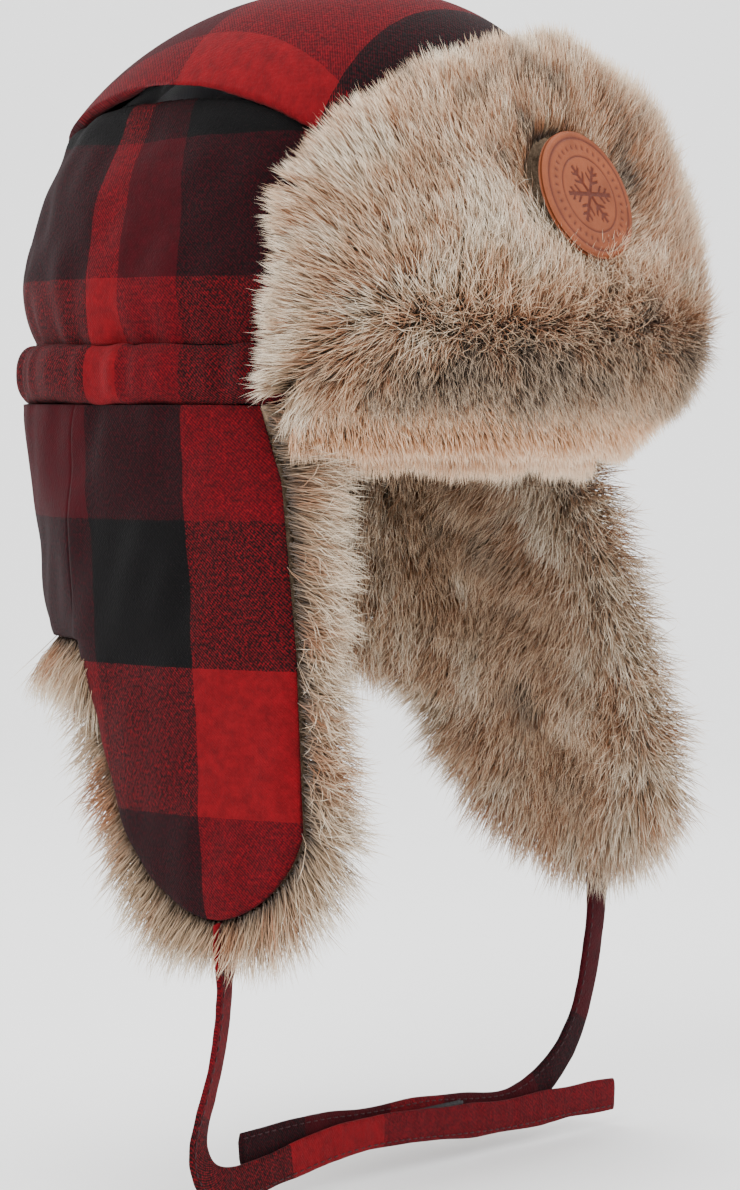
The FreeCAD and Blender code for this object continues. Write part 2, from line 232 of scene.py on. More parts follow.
# ---------------------------------------------------------------- finishes

def shown(red, green, blue):
    """A colour kept as plain shares, so that two yarns mix evenly to the eye."""
    return (red / 255, green / 255, blue / 255, 1.0)


YARNS = {
    "R": shown(101, 14, 22),  # red
    "M": shown(54, 6, 16),  # maroon
    "K": shown(12, 11, 12),  # black
    "D": shown(3, 9, 9),  # the deepest black, which stays black beside maroon
}


def bands(finish, value, starts, low, high):
    """Yarn colours by position: each band starts at its (millimetres, yarn)."""
    span = high - low
    stops = [(max(0.0, (at - low) / span), YARNS[yarn]) for at, yarn in starts]
    return finish.ramp((value - low) * (1 / span), stops, "CONSTANT")


def plaid(name, warp, weft, reach=420.0):
    """Napped wool twill whose warp and weft bands cross, both listed in millimetres."""
    finish = Finish(name, Specular_IOR_Level=0.08, Sheen_Weight=0.02, Sheen_Roughness=0.6)
    across, along, flat = finish.cloth()
    drift = finish.noise(flat, 260.0, 2.0)
    wander = (drift - 0.5) * 0.8
    warp_yarn = bands(finish, across + wander, warp, -reach, reach)
    weft_yarn = bands(finish, along + wander, weft, -reach, reach)
    twill = ((across + along) * (TURN / 1.15)).sine()
    pick = ((along * 0.6 - across) * (TURN / 1.4)).sine()
    mottle = finish.noise(flat, 850.0, 3.0, 0.7)
    share = (twill * 0.3 + pick * 0.12 + (mottle - 0.5) * 2.8 + 0.5).clamp()
    mixed = finish.mix(share, warp_yarn, weft_yarn)
    woven = finish.add("ShaderNodeGamma", {}, {0: mixed, 1: 2.2})
    nap = finish.noise(flat, 240.0, 4.0, 0.65)
    # Painted shade and light: the cloth's colour is darkened where the nap's bump is low and lightened where
    # it is high.
    shade = finish.ramp(nap, [(0.3, (0.62,) * 3 + (1,)), (0.72, (1.18,) * 3 + (1,))])
    nap_shaded_cloth = finish.mix(1.0, woven, shade, "MULTIPLY")
    lint = finish.noise(flat, 1500.0, 2.0, 0.6)
    fuzz = (lint - 0.66).above(0.0) * 0.05
    hairy = finish.mix(fuzz, nap_shaded_cloth, colour(120, 80, 80))
    height = share * 0.5 + nap * 0.8 + mottle * 0.6
    finish.surface(
        Base_Color=hairy,
        Roughness=nap * 0.2 + 0.78,
        Normal=finish.bump(height, 0.5, 0.0006),
    )
    return finish.material


def pile(name, root, light, warm, dark, tip_light, tip_warm, tip_dark):
    """Fur strands: u of the map is a strand's tone from light to dark, v runs root to tip."""
    finish = Finish(name, Specular_IOR_Level=0.35, Roughness=0.52, Sheen_Weight=0.1)
    strand = finish.add("ShaderNodeUVMap", {"uv_map": "OFBake"})
    tone = finish.add("ShaderNodeSeparateXYZ", {}, {0: strand}, 0)
    rise = finish.add("ShaderNodeSeparateXYZ", {}, {0: strand}, 1)

    def along(middle, tip):
        stops = [(0.0, root), (0.34, middle), (0.62, middle), (0.86, tip), (1.0, tip)]
        return finish.ramp(rise, stops)

    pale = along(light, tip_light)
    rust = along(warm, tip_warm)
    deep = along(dark, tip_dark)
    first = finish.mix((tone * 2).clamp(), pale, rust)
    finish.surface(Base_Color=finish.mix((tone * 2 - 1).clamp(), first, deep))
    return finish.material


def backing_felt(name, dark, light):
    finish = Finish(name, Specular_IOR_Level=0.1, Roughness=0.95)
    place = finish.place()
    grain = finish.noise(place, 420.0, 4.0, 0.7)
    finish.surface(
        Base_Color=finish.ramp(grain, [(0.35, dark), (0.7, light)]),
        Normal=finish.bump(grain, 0.8, 0.002),
    )
    return finish.material


def lining_cloth():
    finish = Finish("quilted lining cloth", Specular_IOR_Level=0.4, Sheen_Weight=0.2)
    across, along, flat = finish.cloth()
    weave = (across * (TURN / 0.9)).sine() * (along * (TURN / 0.9)).sine()
    tone = finish.noise(flat, 60.0, 3.0)
    finish.surface(
        Base_Color=finish.ramp(tone, [(0.3, colour(24, 24, 27)), (0.7, colour(40, 40, 45))]),
        Roughness=tone * 0.3 + 0.35,
        Normal=finish.bump(weave, 0.25, 0.0003),
    )
    return finish.material


def badge_leather():
    finish = Finish("tan badge leather", Specular_IOR_Level=0.2)
    place = finish.place()
    press = finish.add("ShaderNodeAttribute", {"attribute_name": "pressed"}, output=2)
    grain = finish.noise(place, 900.0, 4.0, 0.7)
    cloud = finish.noise(place, 90.0, 3.0)
    stops = [(0.3, colour(104, 52, 28)), (0.7, colour(126, 66, 38))]
    tan = finish.ramp(cloud, stops)
    burnt = finish.mix(press * 0.85, tan, colour(72, 26, 16))
    finish.surface(
        Base_Color=finish.mix((grain - 0.55).clamp() * 0.8, burnt, colour(84, 42, 24)),
        Roughness=grain * 0.25 + 0.42 - press * 0.1,
        Normal=finish.bump(grain, 0.35, 0.0004),
    )
    return finish.material


def thread(name, shade):
    finish = Finish(name, Specular_IOR_Level=0.3, Roughness=0.6)
    grain = finish.noise(finish.place(), 2600.0, 2.0)
    dim = (*[c * 0.5 for c in shade[:3]], 1)
    finish.surface(Base_Color=finish.ramp(grain, [(0.3, dim), (0.7, shade)]))
    return finish.material


def tape_loops():
    finish = Finish("hook and loop tape", Specular_IOR_Level=0.4, Roughness=0.7)
    loops = finish.noise(finish.place(), 1800.0, 2.0)
    stops = [(0.3, colour(12, 12, 13)), (0.7, colour(46, 44, 46))]
    finish.surface(
        Base_Color=finish.ramp(loops, stops), Normal=finish.bump(loops, 1.0, 0.001)
    )
    return finish.material


# ---------------------------------------------------------------- mesh helpers


def make_mesh(name, points, faces, material, uv=None, uv_name="Cloth"):
    """A mesh from points in millimetres and faces of 3 or 4; uv has one pair per point."""
    mesh = bpy.data.meshes.new(name)
    sizes = np.array([len(f) for f in faces], np.int32)
    loops = np.concatenate([np.asarray(f, np.int32) for f in faces])
    fill_mesh(mesh, points, loops, sizes)
    if uv is not None:
        layer = mesh.uv_layers.new(name=uv_name)
        layer.data.foreach_set("uv", np.asarray(uv, np.float32)[loops].ravel())
    return finish_piece(name, mesh, points, material)


def fill_mesh(mesh, points, loops, sizes):
    mesh.vertices.add(len(points))
    mesh.vertices.foreach_set("co", (points * MM).astype(np.float32).ravel())
    mesh.loops.add(len(loops))
    mesh.loops.foreach_set("vertex_index", loops)
    mesh.polygons.add(len(sizes))
    starts = np.concatenate([[0], np.cumsum(sizes)[:-1]]).astype(np.int32)
    mesh.polygons.foreach_set("loop_start", starts)
    mesh.polygons.foreach_set("use_smooth", np.ones(len(sizes), bool))
    mesh.update(calc_edges=True)


def finish_piece(name, mesh, points, material):
    rest = mesh.attributes.new("rest", "FLOAT_VECTOR", "POINT")
    rest.data.foreach_set("vector", (points * MM).astype(np.float32).ravel())
    mesh.materials.append(material)
    mesh.validate()
    piece = bpy.data.objects.new(name, mesh)
    bpy.context.scene.collection.objects.link(piece)
    return piece


def grid_faces(rows, columns, wrap, offset=0, flip=False):
    """Quads over a grid of points; wrap joins its last column to its first."""
    across = columns if wrap else columns - 1
    row, column = np.meshgrid(np.arange(rows - 1), np.arange(across), indexing="ij")
    right = (column + 1) % columns
    corners = [row * columns + column, row * columns + right]
    corners += [(row + 1) * columns + right, (row + 1) * columns + column]
    quads = np.stack(corners, -1).reshape(-1, 4) + offset
    return quads[:, ::-1] if flip else quads


def rim_faces(rows, columns, wrap, offset, flip=False):
    """Quads that join the open borders of two equal grids, the second offset points later."""
    index = np.arange(rows * columns).reshape(rows, columns)
    if wrap:
        loops = [np.append(index[0], index[0, 0]), np.append(index[-1], index[-1, 0])[::-1]]
    else:
        ring = [index[0], index[1:, -1], index[-1, -2::-1], index[-2::-1, 0]]
        loops = [np.concatenate(ring)]
    quads = []
    for loop in loops:
        a, b = loop[:-1], loop[1:]
        quads.append(np.stack([b, a, a + offset, b + offset], -1))
    quads = np.concatenate(quads)
    return quads[:, ::-1] if flip else quads


def grid_normals(points, wrap):
    along = np.gradient(points, axis=0)
    if wrap:
        across = (np.roll(points, -1, 1) - np.roll(points, 1, 1)) / 2
    else:
        across = np.gradient(points, axis=1)
    return unit(np.cross(across, along))


def padded_grid(name, outer, inner, flat, material, wrap=False, flip=False, crisp=False):
    """A closed padded piece from its outer and inner grids of points; flat is its cloth map.

    A crisp piece keeps its cut edges sharp, so that two pieces sewn edge to edge read as one.
    """
    rows, columns = outer.shape[:2]
    count = rows * columns
    points = np.concatenate([outer.reshape(-1, 3), inner.reshape(-1, 3)])
    faces = [
        *grid_faces(rows, columns, wrap, 0, flip),
        *grid_faces(rows, columns, wrap, count, not flip),
        *rim_faces(rows, columns, wrap, count, flip),
    ]
    both = np.concatenate([flat.reshape(-1, 2)] * 2) * MM
    piece = make_mesh(name, points, faces, material, both)
    if crisp:
        sheet = 2 * len(grid_faces(rows, columns, wrap, 0, flip))
        soft = np.arange(len(piece.data.polygons)) < sheet
        piece.data.polygons.foreach_set("use_smooth", soft)
        piece.data.update()
    return piece


def stitches(name, path, normals, material, length=2.6, gap=1.3, thick=0.55):
    """A row of thread stitches along a path of points, sunk half into the cloth."""
    steps = np.linalg.norm(np.diff(path, axis=0), axis=1)
    reach = np.concatenate([[0], np.cumsum(steps)])
    starts = np.arange(gap, reach[-1] - length, length + gap)
    rings = 7
    share = np.linspace(0, 1, rings)
    profile = np.sqrt(np.clip(1 - (2 * share - 1) ** 4, 0.02, 1)) * thick / 2
    points, faces = [], []
    sides = 6
    for start in starts:
        at = start + share * length
        centre = np.stack([np.interp(at, reach, path[:, k]) for k in range(3)], -1)
        up = unit(np.stack([np.interp(at, reach, normals[:, k]) for k in range(3)], -1))
        way = unit(np.gradient(centre, axis=0))
        side = np.cross(way, up)
        lift = (np.sin(share * math.pi) * 0.25 - 0.05)[:, None] * up
        base = len(points) * rings * sides
        angle = np.arange(sides) * TURN / sides
        ring = (
            (centre + lift)[:, None]
            + side[:, None] * (np.cos(angle)[None, :, None] * profile[:, None, None])
            + up[:, None] * (np.sin(angle)[None, :, None] * profile[:, None, None])
        )
        points.append(ring.reshape(-1, 3))
        faces += list(grid_faces(rings, sides, True, base))
        faces.append(np.arange(sides) + base)
        faces.append(np.arange(sides)[::-1] + base + (rings - 1) * sides)
    return make_mesh(name, np.concatenate(points), faces, material)


# ---------------------------------------------------------------- fur

STRAND_SHARES = (0.0, 0.4, 0.75, 1.0)
STRAND_WIDTHS = (1.0, 0.85, 0.5, 0.0)
MOST_STRANDS = 11500  # in one piece


def strand_faces():
    """One strand: three tapering sides in three steps, shut at its root."""
    faces = [[2, 1, 0]]
    for step in range(2):
        for side in range(3):
            following = (side + 1) % 3
            low, high = step * 3, step * 3 + 3
            faces.append([low + side, low + following, high + following, high + side])
    faces += [[6 + side, 6 + (side + 1) % 3, 9] for side in range(3)]
    return faces


def grow(name, roots, first, last, lengths, widths, tones, material):
    """Fur strands as real tapered strands, in as many pieces as their faces need."""
    pieces = []
    pattern = strand_faces()
    sizes = np.array([len(f) for f in pattern], np.int32)
    loops = np.concatenate(pattern).astype(np.int32)
    rng = np.random.default_rng(len(roots))
    order = rng.permutation(len(roots))
    parts = max(1, math.ceil(len(roots) / MOST_STRANDS))
    for part in range(parts):
        pick = order[part::parts]
        count = len(pick)
        root, start, end = roots[pick], unit(first[pick]), unit(last[pick])
        length, width = lengths[pick][:, None], widths[pick]
        middle = root + start * length * STRAND_SHARES[1]
        bent = unit(start + end)
        upper = middle + bent * length * (STRAND_SHARES[2] - STRAND_SHARES[1])
        tip = upper + end * length * (1 - STRAND_SHARES[2])
        side = unit(np.cross(start, unit(rng.normal(size=(count, 3)))))
        other = np.cross(start, side)
        rows = []
        for centre, wide in zip((root, middle, upper), STRAND_WIDTHS):
            for corner in range(3):
                angle = corner * TURN / 3
                out = side * math.cos(angle) + other * math.sin(angle) * 0.6
                rows.append(centre + out * (width * wide / 2)[:, None])
        rows.append(tip)
        points = np.stack(rows, 1).reshape(-1, 3)
        mesh = bpy.data.meshes.new(f"{name}_{part + 1}")
        base = (np.arange(count, dtype=np.int32) * len(rows))[:, None]
        all_loops = (loops[None, :] + base).ravel()
        fill_mesh(mesh, points, all_loops, np.tile(sizes, count))
        rise = np.array([0, 0, 0, 0.4, 0.4, 0.4, 0.75, 0.75, 0.75, 1.0])
        spread = np.array([-1, 0, 1, -1, 0, 1, -1, 0, 1, 0]) * 0.004
        tone = np.clip(tones[pick], 0.01, 0.99)
        uv = np.stack(
            [tone[:, None] + spread[None, :], np.tile(rise * 0.98 + 0.01, (count, 1))], -1
        ).reshape(-1, 2)
        layer = mesh.uv_layers.new(name="OFBake")
        layer.data.foreach_set("uv", uv[all_loops].astype(np.float32).ravel())
        piece = finish_piece(f"{name}_{part + 1}", mesh, points, material)
        pieces.append((piece, np.repeat(root, len(rows), 0)))
    return pieces


def spread_points(rng, low, high, spacing):
    """Jittered points over a rectangle, about spacing apart."""
    across = np.arange(low[0], high[0], spacing)
    along = np.arange(low[1], high[1], spacing)
    grid = np.stack(np.meshgrid(across, along, indexing="ij"), -1).reshape(-1, 2)
    return grid + rng.uniform(-0.5, 0.5, grid.shape) * spacing


def clump_centres(points, cell, seed):
    """For each flat point, the centre of the clump that it leans to."""
    home = np.floor(points / cell)
    best = np.full(len(points), 1e9)
    chosen = np.zeros_like(points)
    for step_a in (-1, 0, 1):
        for step_b in (-1, 0, 1):
            key = home + (step_a, step_b)
            mix = np.sin(key[:, 0] * 127.1 + key[:, 1] * 311.7 + seed) * 43758.5453
            mix_b = np.sin(key[:, 0] * 269.5 + key[:, 1] * 183.3 + seed) * 43758.5453
            jitter = np.stack([mix - np.floor(mix), mix_b - np.floor(mix_b)], -1)
            centre = (key + 0.15 + jitter * 0.7) * cell
            far = np.linalg.norm(points - centre, axis=1)
            near = far < best
            best[near] = far[near]
            chosen[near] = centre[near]
    return chosen


def edge_distance(points, edge):
    """Distance from flat points to a polyline."""
    best = np.full(len(points), 1e9)
    for start, end in zip(edge, edge[1:]):
        run = end - start
        share = np.clip(((points - start) @ run) / max(run @ run, 1e-9), 0, 1)
        best = np.minimum(best, np.linalg.norm(start + share[:, None] * run - points, axis=1))
    return best


def inside(points, outline):
    """Which flat points are inside a closed outline."""
    found = np.zeros(len(points), bool)
    for start, end in zip(outline, np.roll(outline, -1, 0)):
        crosses = (start[1] > points[:, 1]) != (end[1] > points[:, 1])
        rise = end[1] - start[1]
        safe = rise if abs(rise) > 1e-9 else 1e-9
        at = start[0] + (points[:, 1] - start[1]) / safe * (end[0] - start[0])
        found ^= crosses & (points[:, 0] < at)
    return found


def fur_sheet(name, outline, edge, place, material, spec):
    """Fur over a flat outline laid on a form by place(flat points, depth).

    edge is the free part of the outline, past which the fur stands out."""
    rng = np.random.default_rng(spec["seed"])
    low, high = outline.min(0), outline.max(0)
    flat = spread_points(rng, low, high, spec["spacing"])
    flat = flat[inside(flat, outline)]
    rim_steps = edge_points(edge, spec["rim_spacing"])
    rim = np.repeat(rim_steps, spec["rim_rows"], 0)
    rim = rim + rng.normal(size=rim.shape) * 0.8
    is_rim = np.concatenate([np.zeros(len(flat), bool), np.ones(len(rim), bool)])
    flat = np.concatenate([flat, rim])
    if "skip" in spec:
        keep = ~spec["skip"](flat)
        flat, is_rim = flat[keep], is_rim[keep]
    count = len(flat)
    far = edge_distance(flat, edge)
    near_edge = np.exp(-far / spec["edge_reach"])
    thick = spec["thick"](flat)
    depth = np.where(is_rim, thick * rng.uniform(0, 1, count), thick)
    root, normal, across, along = place(flat, depth)
    out_flat = outward(flat, edge, outline)
    push = across * out_flat[:, :1] + along * out_flat[:, 1:]
    clump = clump_centres(flat, spec["clump"], spec["seed"])
    lean = clump - flat
    gather = across * lean[:, :1] + along * lean[:, 1:]
    side, up = spec["flow"](flat)
    flow = across * side[:, None] + along * up[:, None]
    stray = rng.normal(size=(count, 3))
    loose = rng.uniform(size=(count, 1)) ** 3 * 0.5
    lift = 1 - near_edge * spec["edge_lean"]
    lift = np.where(is_rim, rng.uniform(*spec["rim_lift"], count), lift)[:, None]
    first = normal * lift * 0.9 + push * (near_edge * spec["edge_push"])[:, None]
    first = first + flow * 0.45 + stray * 0.1
    last = normal * lift * 0.34 + push * (near_edge * spec["edge_push"] * 1.1)[:, None]
    last = last + flow * spec["comb"] * (1 - 0.4 * near_edge)[:, None]
    last = last + gather * (0.07 + 0.07 * near_edge)[:, None] + stray * (0.12 + loose)
    length = spec["length"] * (1 - near_edge * (1 - spec["edge_length"]))
    if "short" in spec:
        length = length * spec["short"](flat)
    length = length * rng.uniform(0.7, 1.12, count)
    length = length * (1 + 0.12 * waves(root, 30, spec["seed"] + 4))
    width = rng.uniform(0.75, 1.25, count) * spec["width"]
    patch = waves(root, 46, spec["seed"] + 2) * 0.14 + waves(root, 15, spec["seed"] + 3) * 0.17
    clump_tone = waves(np.pad(clump, ((0, 0), (0, 1))), 9, spec["seed"] + 5) * 0.09
    tone = spec["tone"](flat) + patch + clump_tone + rng.normal(size=count) * 0.09
    return grow(name, root, first, last, length, width, tone, material)


def edge_points(edge, spacing):
    steps = np.linalg.norm(np.diff(edge, axis=0), axis=1)
    reach = np.concatenate([[0], np.cumsum(steps)])
    at = np.arange(0, reach[-1], spacing)
    return np.stack([np.interp(at, reach, edge[:, k]) for k in range(2)], -1)


def outward(flat, edge, outline):
    """The flat way out past the nearest edge, also for points on or beyond it."""
    best = np.full(len(flat), 1e9)
    way = np.zeros_like(flat)
    turning = np.sign(area(outline))
    for start, end in zip(edge, edge[1:]):
        run = end - start
        share = np.clip(((flat - start) @ run) / max(run @ run, 1e-9), 0, 1)
        far = np.linalg.norm(start + share[:, None] * run - flat, axis=1)
        normal = unit(np.array([run[1], -run[0]]) * turning)
        near = far < best
        best[near] = far[near]
        way[near] = normal
    return way


def lay_fur(sheets, body, node=None):
    """Puts fur pieces on a body; the first of them stands for the CAD node, if one is given."""
    for number, (piece, _) in enumerate(sheets):
        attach(piece, body)
        if number == 0 and node:
            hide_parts(node)


def padded_backing(name, place, flat, depths, felt, flip=True):
    """The felt-like backing that fur stands on, from a flat grid laid at two depths."""
    listed = flat.reshape(-1, 2)
    shape = (*flat.shape[:2], 3)
    outer, inner = [place(listed, np.full(len(listed), depth))[0].reshape(shape) for depth in depths]
    return padded_grid(name, outer, inner, flat, felt, flip=flip)


def band_grid(heights, reach, rows, columns=120):
    """A flat grid from one height to the other, reach to either side of the middle."""
    across, height = np.meshgrid(
        np.linspace(-reach, reach, columns), np.linspace(*heights, rows)
    )
    return np.stack([across, height], -1)


def area(outline):
    following = np.roll(outline, -1, 0)
    cross = outline[:, 0] * following[:, 1] - outline[:, 1] * following[:, 0]
    return cross.sum() / 2


def bend(piece, body, weights):
    """Cloth or fur that stays on the crown where weights are 0 and follows body where they are 1."""
    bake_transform(piece, "root", body, start=(0, 0, 0), end=(0, 0, -1))
    attribute = piece.data.attributes["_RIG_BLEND"]
    attribute.data.foreach_set("value", weights.astype(np.float32))
    return piece


# ---------------------------------------------------------------- forms

CROWN_POWER = 2.4
TOP_FORWARD = 13
REAR_DROP = 8.0  # how far the crown slopes down behind its peak


def level_of(k):
    """The crown's height, as a share of the whole, where its breadth is a share k."""
    return np.clip(1 - np.clip(k, 0, 1) ** CROWN_POWER, 0, 1) ** (1 / CROWN_POWER)


def crown_point(theta, k, inset=0.0):
    """The crown at an angle from the back and a share k of its full breadth."""
    level = level_of(k)
    x = (HALF_WIDTH - inset) * k * np.sin(theta)
    y = (HALF_DEPTH - inset) * k * np.cos(theta) - TOP_FORWARD * level**2
    z = ROLL_TOP + (CROWN_TOP - inset - ROLL_TOP) * level
    z = z - REAR_DROP * level**2 * smooth(y, -40, 75)
    return np.stack([x, y, z], -1)


def seam_breadth(theta):
    """Share k of the crown's breadth at which the top panel's seam crosses each angle."""
    k = np.linspace(1.0, 0.3, 400)[:, None]
    point = crown_point(theta[None, :], k)
    across = point[..., 0] / (PANEL_HALF_WIDTH - 5)
    along = (point[..., 1] + PANEL_HALF_LENGTH - PANEL_BACK) / PANEL_HALF_LENGTH
    return k[np.argmax(across**2 + along**2 < 1, axis=0), 0]


def skirt_form(z, flap):
    """Half width, half depth and centre of the skirt at heights z below the opening."""
    mid = (14, 25) if flap else (4, 14)
    low = (42, 44) if flap else (4, 14)
    rows = np.array(
        [
            (HALF_WIDTH, HALF_DEPTH, 0),
            (HALF_DEPTH + mid[0] - mid[1], HALF_DEPTH + mid[0], -20),
            (HALF_DEPTH + low[0] - low[1], HALF_DEPTH + low[0], -41),
        ]
    )
    depth = np.array([0.0, -80.0, -200.0])
    fits = [np.polyfit(depth, rows[:, k], 2) for k in range(3)]
    return [np.polyval(fit, z) for fit in fits]


# ---------------------------------------------------------------- crown pieces


def crown_bumps(point, seed):
    near_roll = np.exp(-(point[..., 2] - ROLL_TOP) / 9)
    gathers = waves(point * (1, 1, 0.25), 15, seed + 2)
    return (
        1.3 * waves(point, 60, seed)
        + 0.5 * waves(point, 24, seed + 1)
        + gathers * near_roll * 0.9
        - 4.2 * near_roll
        + 2.0 * np.exp(-(((point[..., 2] - ROLL_TOP - 20) / 14) ** 2))
    )


def seam_dip(distance):
    """A seam's sunk line and the soft swell of cloth beside it."""
    return -1.5 * np.exp(-((distance / 1.6) ** 2)) + 0.9 * np.exp(-(((distance - 7) / 5) ** 2))


def crown_side(side, material):
    """One side panel, from the back seam round to the front flap."""
    sign = -1 if side == "right" else 1
    theta = np.linspace(0.004, math.radians(141), 240)
    top = seam_breadth(theta)
    rows = 84
    share = np.linspace(0, 1, rows)[:, None]
    level_top = (1 - top**CROWN_POWER) ** (1 / CROWN_POWER)
    level = level_top[None, :] * share
    k = (1 - level**CROWN_POWER) ** (1 / CROWN_POWER)
    point = crown_point(np.broadcast_to(theta, k.shape) * sign, k)
    rise = np.linalg.norm(np.diff(point, axis=0), axis=-1)
    height = np.concatenate([np.zeros((1, rise.shape[1])), np.cumsum(rise, 0)])
    turn = np.linalg.norm(np.diff(point[0], axis=0), axis=-1)
    across = np.concatenate([[0], np.cumsum(turn)])
    to_top = height[-1][None, :] - height
    normal = grid_normals(point, False) * -sign
    push = crown_bumps(point, 11) + seam_dip(to_top)
    push = push + seam_dip(np.broadcast_to(across, k.shape)) * 0.7
    outer = point + normal * push[..., None]
    inner = point - normal * 4.0
    stretch = 1 + 0.42 * (1 - k)
    flat = np.stack([np.broadcast_to(across, k.shape) * stretch, height + ROLL_TOP], -1)
    piece = padded_grid(
        f"crown_side_panel_{side}_cloth", outer, inner, flat, material, flip=sign > 0
    )
    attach(piece, "root")
    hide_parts(f"crown_side_panel_{side}")
    return outer, normal


def crown_top(material):
    """The long top panel, a closed fan of rings from its seam in to the peak."""
    theta = np.linspace(0, TURN, 360, endpoint=False)
    folded = np.where(theta > math.pi, TURN - theta, theta)
    edge = seam_breadth(folded)
    rows = 80
    share = np.linspace(0, 0.995, rows)[:, None]
    k = edge[None, :] * (1 - share)
    point = crown_point(np.broadcast_to(theta, k.shape), k)
    run = np.linalg.norm(np.diff(point, axis=0), axis=-1)
    inward = np.concatenate([np.zeros((1, run.shape[1])), np.cumsum(run, 0)])
    normal = grid_normals(point, True)
    push = crown_bumps(point, 11) + seam_dip(inward) + 0.6 * smooth(inward, 0, 3)
    outer = point + normal * push[..., None]
    inner = point - normal * 4.0
    stretch = 1 + 0.16 * (1 - level_of(k))
    flat = np.stack([point[..., 0] * stretch, -point[..., 1] * stretch], -1)
    piece = padded_grid("crown_top_panel_cloth", outer, inner, flat, material, wrap=True)
    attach(piece, "root")
    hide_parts("crown_top_panel", "crown_wadding")
    return outer, normal, inward


TOPSTITCH_INSET = 4.2


def crown_topstitch(outer, normal, inward, material):
    """A row of topstitching on the top panel, beside its seam."""
    row = np.argmax(inward > TOPSTITCH_INSET, axis=0)
    pick = np.arange(outer.shape[1])
    path = outer[row, pick]
    up = normal[row, pick]
    keep = np.roll(np.arange(len(path)), len(path) // 2)
    order = keep[(path[keep][:, 1] > -60)]
    piece = stitches("crown_topstitch_row", path[order], up[order], material)
    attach(piece, "root")


QUILT_PITCH = 44


def crown_lining(material):
    """Quilted lining: the crown's inside, puffed between crossing rows of stitching."""
    theta = np.linspace(0, TURN, 288, endpoint=False)
    rows = 110
    level = np.linspace(0, 1, rows)[:, None] ** 0.8
    k = (1 - np.clip(level, 0, 0.9999) ** CROWN_POWER) ** (1 / CROWN_POWER)
    inset = CLOTH + 5.2
    k = k * np.ones_like(theta)
    point = crown_point(np.broadcast_to(theta, k.shape), k, inset)
    foot = np.linspace(0, 1, 12)[:, None]
    wall = np.stack(
        [
            (HALF_WIDTH - inset) * np.sin(theta) + 0 * foot,
            (HALF_DEPTH - inset) * np.cos(theta) + 0 * foot,
            1 + (ROLL_TOP - 1) * foot * (1 - 1e-3) + 0 * theta,
        ],
        -1,
    )
    point = np.concatenate([wall[:-1], point])
    run = np.linalg.norm(np.diff(point, axis=0), axis=-1)
    up = np.concatenate([np.zeros((1, run.shape[1])), np.cumsum(run, 0)])
    around = theta * (HALF_WIDTH + HALF_DEPTH) / 2
    one_way = np.sin((around + up) * math.pi / QUILT_PITCH)
    other_way = np.sin((around - up) * math.pi / QUILT_PITCH)
    diamond = np.abs(one_way * other_way)
    normal = grid_normals(point, True)
    puff = np.sqrt(diamond) * 2.2
    inner = point - normal * puff[..., None]
    outer = point + normal * 1.2
    flat = np.stack([np.broadcast_to(around, up.shape), up], -1)
    piece = padded_grid("crown_quilted_lining", outer, inner, flat, material, wrap=True)
    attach(piece, "root")
    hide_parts("crown_lining")


def gathered_roll(material):
    """The roll: a soft tube of cloth over its elastic, gathered into small folds."""
    theta = np.linspace(0, TURN, 480, endpoint=False)[None, :]
    alpha = np.linspace(0, TURN, 40)[:, None]
    ring = [np.sin(theta) * HALF_WIDTH, np.cos(theta) * HALF_DEPTH, 0 * theta]
    base = np.stack(ring, -1)[0]
    fold = waves(base, 13, 31)[None, :]
    lump = waves(base, 46, 32)[None, :]
    out = np.cos(alpha)
    up = np.sin(alpha)
    swell = np.where(out > 0, 6.6 + 0.9 * fold * np.abs(out) + 0.8 * lump, 2.2)
    lift = 10.4 * np.sign(up) * np.abs(up) ** 0.85 + 0.4 * fold
    radial = -3.6 + swell * np.sign(out) * np.abs(out) ** 0.8
    x = (HALF_WIDTH + radial) * np.sin(theta)
    y = (HALF_DEPTH + radial) * np.cos(theta)
    z = ROLL_TOP / 2 + lift + 0.5 * lump
    point = np.stack([x, y, z + 0 * x], -1)
    steps = np.linalg.norm(np.diff(base, axis=0), axis=1)
    around = np.broadcast_to(np.concatenate([[0], np.cumsum(steps)]), x.shape)
    half = around.max() / 2
    mirrored = half - np.abs(around - half)
    flat = np.stack([mirrored, np.broadcast_to(up * 12 + 10, x.shape)], -1)
    rows, columns = x.shape
    faces = list(grid_faces(rows - 1, columns, True, flip=True))
    last = (rows - 2) * columns
    column = np.arange(columns)
    right = (column + 1) % columns
    faces += list(np.stack([last + right, last + column, column, right], -1))
    piece = make_mesh(
        "gathered_roll", point[:-1].reshape(-1, 3), faces, material, flat[:-1].reshape(-1, 2) * MM
    )
    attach(piece, "root")
    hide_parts("roll_casing", "elastic_band")


# ---------------------------------------------------------------- skirt: nape and ear flaps

FLAP_DROP = 172
FLAP_CORNER = 142
SPLIT_BACK = 28


def bulge(start, end, radius, steps=14):
    """Points on the arc from start to end, swelling to the right of the way."""
    start, end = np.array(start, float), np.array(end, float)
    half = np.linalg.norm(end - start) / 2
    way = unit(end - start)
    side = np.array([way[1], -way[0]])
    centre = (start + end) / 2 - side * math.sqrt(radius**2 - half**2)
    first, second = start - centre, end - centre
    angle = math.atan2(*first[::-1])
    turn = (math.atan2(*second[::-1]) - angle + math.pi) % TURN - math.pi
    at = angle + turn * np.linspace(0, 1, steps)
    return centre + radius * np.stack([np.cos(at), np.sin(at)], -1)


